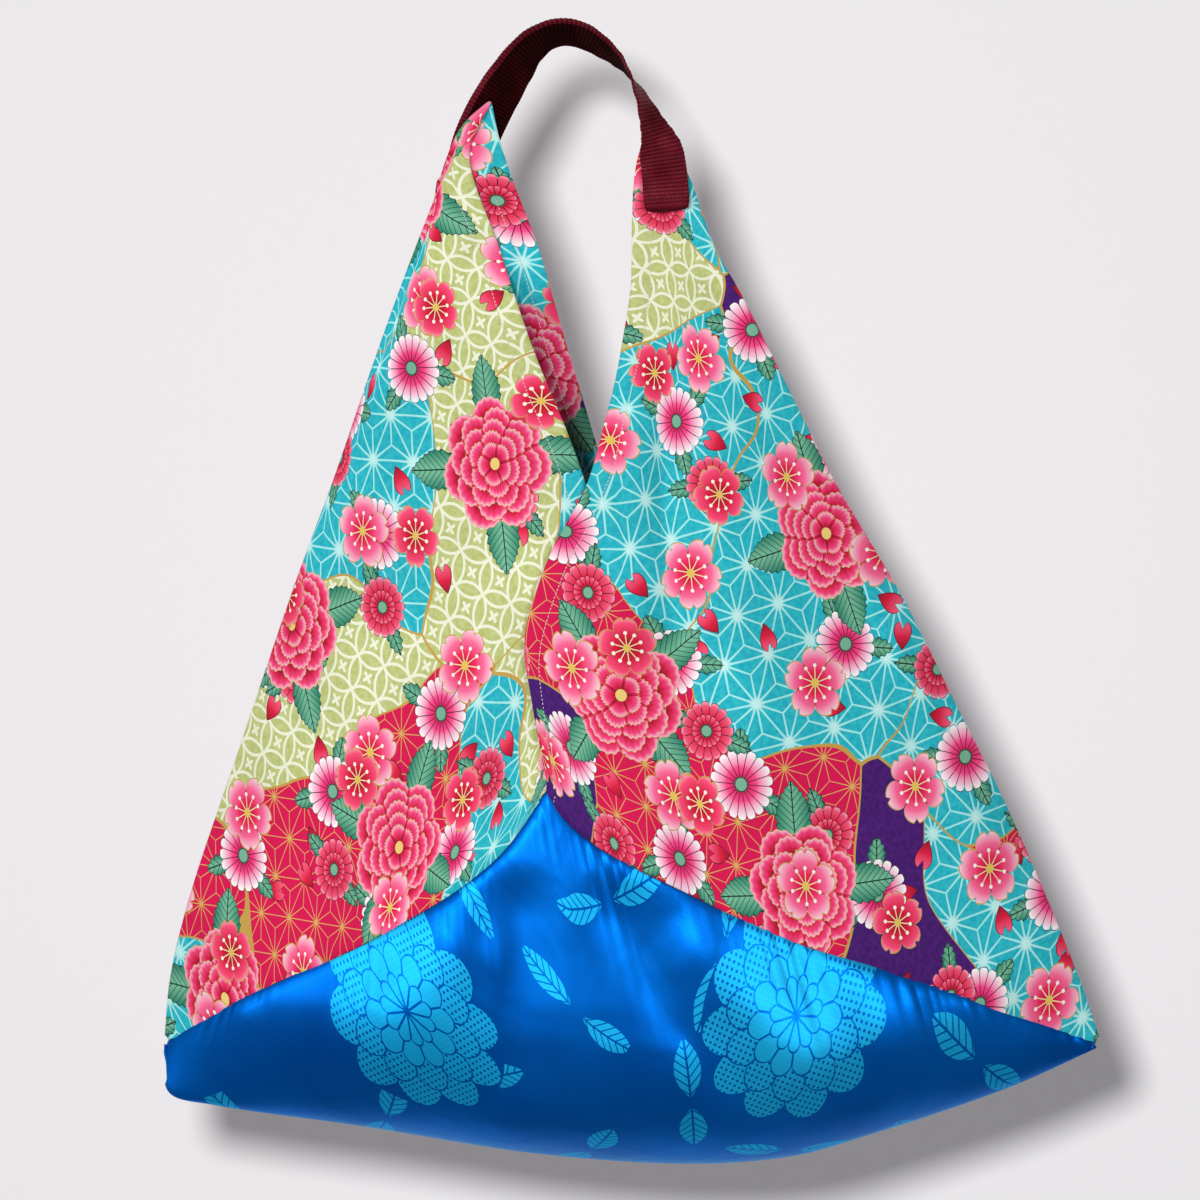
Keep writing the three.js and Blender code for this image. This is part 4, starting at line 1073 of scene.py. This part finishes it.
def stitches_piece(name, rows, material):
    """One object of all stitches of rows of (spots, directions, normals), bedded in the cloth."""
    spots, ahead, normals = (np.concatenate(part) for part in zip(*rows))
    ahead = unit(ahead - normals * np.sum(ahead * normals, axis=-1, keepdims=True))
    t = np.linspace(0, 1, STITCH_RINGS)[:, None]
    turn = np.linspace(0, 2 * math.pi, STITCH_SIDES, endpoint=False)
    swell = 0.5 * np.sqrt(np.clip(1 - (2 * t - 1) ** 4, 0.06, 1))
    run = (t - 0.5) * STITCH_LENGTH + 0 * turn
    out = swell * np.cos(turn) * STITCH_WIDTH
    lift = (swell * (1 + 0.75 * np.sin(turn)) - 0.25) * STITCH_WIDTH * 0.8
    points = spots[:, None]
    for way, far in ((ahead, run), (np.cross(normals, ahead), out), (normals, lift)):
        points = points + way[:, None] * far.reshape(1, -1, 1)
    index = np.arange(run.size).reshape(run.shape)
    one = [*quads_of(index, True).tolist(), index[0][::-1].tolist(), index[-1].tolist()]
    faces = [[i + k * run.size for i in face] for k in range(len(spots)) for face in one]
    uv = np.stack([run, turn * MM + 0 * t], axis=-1).reshape(-1, 2)
    uvs = {"flat": np.tile(uv, (len(spots), 1))}
    return mesh_piece(name, points.reshape(-1, 3), faces, uvs, material)


def walk(line, pitch):
    """Places a pitch apart along a line of points, as a row index with its share."""
    steps = np.linalg.norm(np.diff(line, axis=0), axis=1)
    far = np.concatenate([[0], np.cumsum(steps)])
    return np.interp(np.arange(pitch, far[-1] - pitch, pitch), far, np.arange(len(line)))


def read(values, at):
    """Values of an array at fractional places along its first axis."""
    at = np.clip(at, 0, len(values) - 1)
    low = np.floor(at).astype(int)
    share = (at - low).reshape(-1, *[1] * (values.ndim - 1))
    return values[low] * (1 - share) + values[np.minimum(low + 1, len(values) - 1)] * share


def hem_rows(half, last_row):
    """Stitch rows along an opening edge, on the outer and on the lining side."""
    at = np.interp([1 - HEM_WIDTH / SQUARE], ALONG, np.arange(len(ALONG)))
    line, facing = (read(values, at)[0] for values in half[:2])
    keep = pixel_of(line[:, 0], line[:, 2])[1] > last_row
    line, facing = line[keep], unit(facing[keep])
    rows = []
    for distance, sign in ((PANEL_OUTSIDE, 1), (LINING_INSIDE, -1)):
        laid = line + facing * distance
        at = walk(laid, STITCH_PITCH)
        ahead = read(laid, at + 0.5) - read(laid, at - 0.5)
        rows.append((read(laid, at), ahead, unit(read(facing, at)) * sign))
    return rows


# The stitches end at a row of the front view, where the webbing covers the cloth.
hem_threads = {}
for side, halves, last_row in (("left", left_halves, 190), ("right", right_halves, 215)):
    for face, half in zip(("front", "back"), halves):
        hem_threads[f"{side}_{face}_topstitch"] = stitches_piece(
            f"{side}_{face}_hem_stitches", hem_rows(half, last_row), white_thread
        )


# The webbing handle


strap_line = Outline(STRAP)
strap_shares = np.array([
    strap_line.shares[np.argmin(np.linalg.norm(strap_line.points - place(pixel), axis=1))]
    for pixel in STRAP
])


def strap_turn(share):
    """How far the webbing's width has turned at shares of its length, in radians."""
    i = np.clip(np.searchsorted(strap_shares, share, side="left"), 1, len(strap_shares) - 1)
    t = eased(share, strap_shares[i - 1], strap_shares[i])
    turns = np.array(STRAP_TURN_SHARES) * math.pi
    return turns[i - 1] + (turns[i] - turns[i - 1]) * t


def strap_frames(share):
    """Underside points, directions, widths and faces of the webbing at shares of its length."""
    flat = strap_line.at(share)
    step = 0.002
    ahead = strap_line.at(np.minimum(share + step, 1)) - strap_line.at(np.maximum(share - step, 0))
    ahead = unit(np.stack([ahead[..., 0], 0 * share, ahead[..., 1]], axis=-1))
    inward = np.stack([ahead[..., 2], 0 * share, -ahead[..., 0]], axis=-1)
    turn = strap_turn(share)[..., None]
    width = inward * np.cos(turn) + np.array([0, 1, 0]) * np.sin(turn)
    spots = np.stack([flat[..., 0], 0 * share, flat[..., 1]], axis=-1)
    return spots, ahead, width, unit(np.cross(ahead, width))


def near_ends(run, past, reach):
    """From 1 at each end of the webbing's middle line, or past it, to 0 a reach away."""
    ends = (-past, strap_line.length + past)
    return sum(np.exp(-(((run - end) / reach) ** 2)) for end in ends)


def end_puff(run, across):
    """How far the outer face swells at places along and across the webbing, in metres."""
    crown = np.sqrt(np.cos(math.pi * across / STRAP_WIDTH))
    return near_ends(run, 0, END_PUFF_REACH) * END_PUFF * crown


def tucked_end(spot, ahead, width, face, run, way):
    """The points, widths, faces and runs of an end that is folded under, on from its fold."""
    turns = np.linspace(0, math.pi, 10)[1:]
    faces = [face * math.cos(a) + ahead * way * math.sin(a) for a in turns]
    curl = [spot + (f - face) * TUCK_GAP / 2 for f in faces]
    back = np.linspace(0, STRAP_TUCK, 40)[1:]
    faces += [faces[-1]] * len(back)
    curl += [curl[-1] - ahead * way * far for far in back]
    far = np.concatenate([np.linspace(0.4 * MM, FOLD_RUN, len(turns)), FOLD_RUN + back])
    run = run + way * far
    return np.array(curl), np.tile(width, (len(curl), 1)), np.array(faces), run


def strap_piece(name):
    """The whole webbing with its ends folded under, ribbed across on both faces."""
    length = strap_line.length
    share = np.linspace(0, 1, int(length / (0.5 * MM)))
    spots, ahead, width, face = strap_frames(share)
    run = share * length
    first, last = (
        tucked_end(spots[end], ahead[end], width[end], face[end], run[end], way)
        for end, way in ((0, -1), (-1, 1))
    )
    parts = ([array[::-1] for array in first], (spots, width, face, run), last)
    spots, width, face, run = (np.concatenate(arrays) for arrays in zip(*parts))

    # Round it: its underside, one edge, its outer face and the other edge
    half = STRAP_WIDTH / 2
    flat = np.linspace(-1, 1, STRAP_FACE_STEPS) * (half - STRAP_ROLL)
    edge = np.full(2, half - STRAP_EDGE_INSET)
    rise = np.array([STRAP_ROLL, STRAP_THICKNESS - STRAP_ROLL])
    across = np.concatenate([flat, edge, -flat, -edge])
    out = np.concatenate([0 * flat, rise, 0 * flat + STRAP_THICKNESS, rise[::-1]])
    outer = out > STRAP_THICKNESS / 2
    rib = np.abs(np.sin(math.pi * run / RIB_PITCH))[:, None]
    dip = RIB_HEIGHT * (1 - rib)
    cords = CORD_HEIGHT * np.cos(2 * math.pi * across / CORD_PITCH)
    puff = end_puff(run[:, None], across)
    level = np.where(outer, out - dip + cords + puff, out + 0.6 * dip - cords)
    pinch = END_PINCH * near_ends(run, 1.8 * MM, 2.5 * MM)[:, None]
    scallop = 1 - RIB_PINCH * (1 - rib) - pinch
    points = spots[:, None] + width[:, None] * (across * scallop)[..., None]
    points = points + face[:, None] * level[..., None]
    index = np.arange(level.size).reshape(level.shape)
    quads = np.roll(quads_of(index, True), -1, 1)
    faces = [*quads.tolist(), index[0].tolist(), index[-1][::-1].tolist()]
    shifted = across + np.where(outer, 0, UNDERSIDE)
    uv = np.stack([run[:, None] + 0 * across, shifted + 0 * run[:, None]], axis=-1)
    uvs = {"flat": uv.reshape(-1, 2)}
    return mesh_piece(name, points.reshape(-1, 3), faces, uvs, strap_material)


def strap_stitches(name, end_share, way):
    """The sewn rectangle that holds one end of the webbing to its peak."""
    half = STRAP_WIDTH / 2 - STRAP_STITCH_INSET
    near, far = STRAP_STITCH_INSET, STRAP_STITCH_INSET + STRAP_STITCH_REACH
    box = [(near, -half), (far, -half), (far, half), (near, half)]
    rows = []
    for (a, b), (c, d) in zip(box, box[1:] + box[:1]):
        count = round(math.hypot(c - a, d - b) / STITCH_PITCH)
        t = (np.arange(count) + 0.5) / count
        along, across = a + (c - a) * t, b + (d - b) * t
        spots, ahead, width, face = strap_frames(end_share + way * along / strap_line.length)
        lift = STRAP_THICKNESS - 0.05 * MM + end_puff(along, across)
        spots = spots + width * across[:, None] + face * lift[:, None]
        rows.append((spots, ahead * (c - a) * way + width * (d - b), face))
    return stitches_piece(name, rows, burgundy_thread)


strap = strap_piece("webbing_handle")
handle_threads = {
    "handle_stitching_left": strap_stitches("left_handle_stitches", 0, 1),
    "handle_stitching_right": strap_stitches("right_handle_stitches", 1, -1),
}


# Bodies and replaced nodes


for name, piece in {**cloth, **hem_threads, **handle_threads}.items():
    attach(piece, "bag")
    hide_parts(name)
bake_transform(strap)
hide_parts("handle_webbing", "handle_end_left", "handle_end_right")


# Backdrop, lights and camera


# The wall stands clear of the bag when it swings back as far as it goes.
WALL_Y = 0.7
CAMERA_AWAY = 4.0
WALL_GLOW = 0.135
WALL_POWER = 153
PALE_GREY = "#ECEAEB"
bpy.ops.mesh.primitive_plane_add(size=9, location=(0, WALL_Y, -0.3), rotation=(math.pi / 2, 0, 0))
wall = bpy.context.object
wall.name = "backdrop"
# Matt paint, even and without gloss. Its slight glow stands for light from all round the room.
wall_material, add, paintwork = material_with("pale_grey_paint")
set_inputs(paintwork, {
    "Base Color": PALE_GREY,
    "Roughness": 0.9,
    "Specular IOR Level": 0.1,
    "Emission Color": PALE_GREY,
    "Emission Strength": WALL_GLOW,
})
behind = add("NewGeometry", out="Backfacing")
seen_through = add("MixShader", behind, paintwork.outputs[0], add("BsdfTransparent"))
set_inputs(wall_material.node_tree.nodes["Material Output"], {"Surface": seen_through})
wall.data.materials.append(wall_material)
wall.visible_shadow = False

CENTRE = place((600, 600))
only_wall = bpy.data.collections.new("lit_by_wall_light")
only_wall.objects.link(wall)
not_wall = bpy.data.collections.new("lit_by_bag_lights")
not_wall.objects.link(wall)
not_wall.collection_objects[0].light_linking.link_state = "EXCLUDE"


def lamp(name, spot, size, power, lit):
    """An area light that faces the middle of the bag and lights only what `lit` says."""
    data = bpy.data.lights.new(name, "AREA")
    data.shape, data.size, data.energy = "DISK", size, power
    light = bpy.data.objects.new(name, data)
    light.location = spot
    aim = Vector((CENTRE[0], 0, CENTRE[1])) - Vector(spot)
    light.rotation_euler = aim.to_track_quat("-Z", "Y").to_euler()
    light.light_linking.receiver_collection = lit
    bpy.context.scene.collection.objects.link(light)


lamp("key_light", (CENTRE[0] - 1.8, -5.8, CENTRE[1] + 1.9), 1.2, 159, not_wall)
lamp("left_light", (CENTRE[0] - 2.8, -2.8, CENTRE[1] + 0.3), 1.4, 45, not_wall)
lamp("right_light", (CENTRE[0] + 1.9, -3.5, CENTRE[1] + 0.3), 1.2, 45, not_wall)
lamp("back_light", (CENTRE[0] + 1.0, 3.2, CENTRE[1] + 1.0), 1.4, 62, not_wall)
# At the camera's own distance, so that the shadow is as large as the bag and lies just beside it.
lamp("wall_light", (CENTRE[0] - 0.185, -CAMERA_AWAY, CENTRE[1] + 0.2), 0.2, WALL_POWER, only_wall)

world = bpy.data.worlds.new("studio")
bpy.context.scene.world = world
world.use_nodes = True
seen = node(world.node_tree, "LightPath", out="Is Camera Ray")
shades = {"Factor": seen, "A": [0.16, 0.16, 0.163, 1], "B": PALE_GREY}
shade = node(world.node_tree, "Mix.RGBA", shades)
set_inputs(world.node_tree.nodes["Background"], {"Color": shade})

PICTURE_WIDTH = 1200 * ACROSS
SENSOR_WIDTH = 36  # in millimetres, as the lens is
camera_data = bpy.data.cameras.new("camera")
camera_data.sensor_width = SENSOR_WIDTH
camera_data.lens = SENSOR_WIDTH * CAMERA_AWAY / PICTURE_WIDTH
camera_data.clip_end = 50
camera = bpy.data.objects.new("camera", camera_data)
camera.location = (CENTRE[0], -CAMERA_AWAY, CENTRE[1])
camera.rotation_euler = (math.pi / 2, 0, 0)
bpy.context.scene.collection.objects.link(camera)
bpy.context.scene.camera = camera
bpy.context.scene.view_settings.view_transform = "Standard"
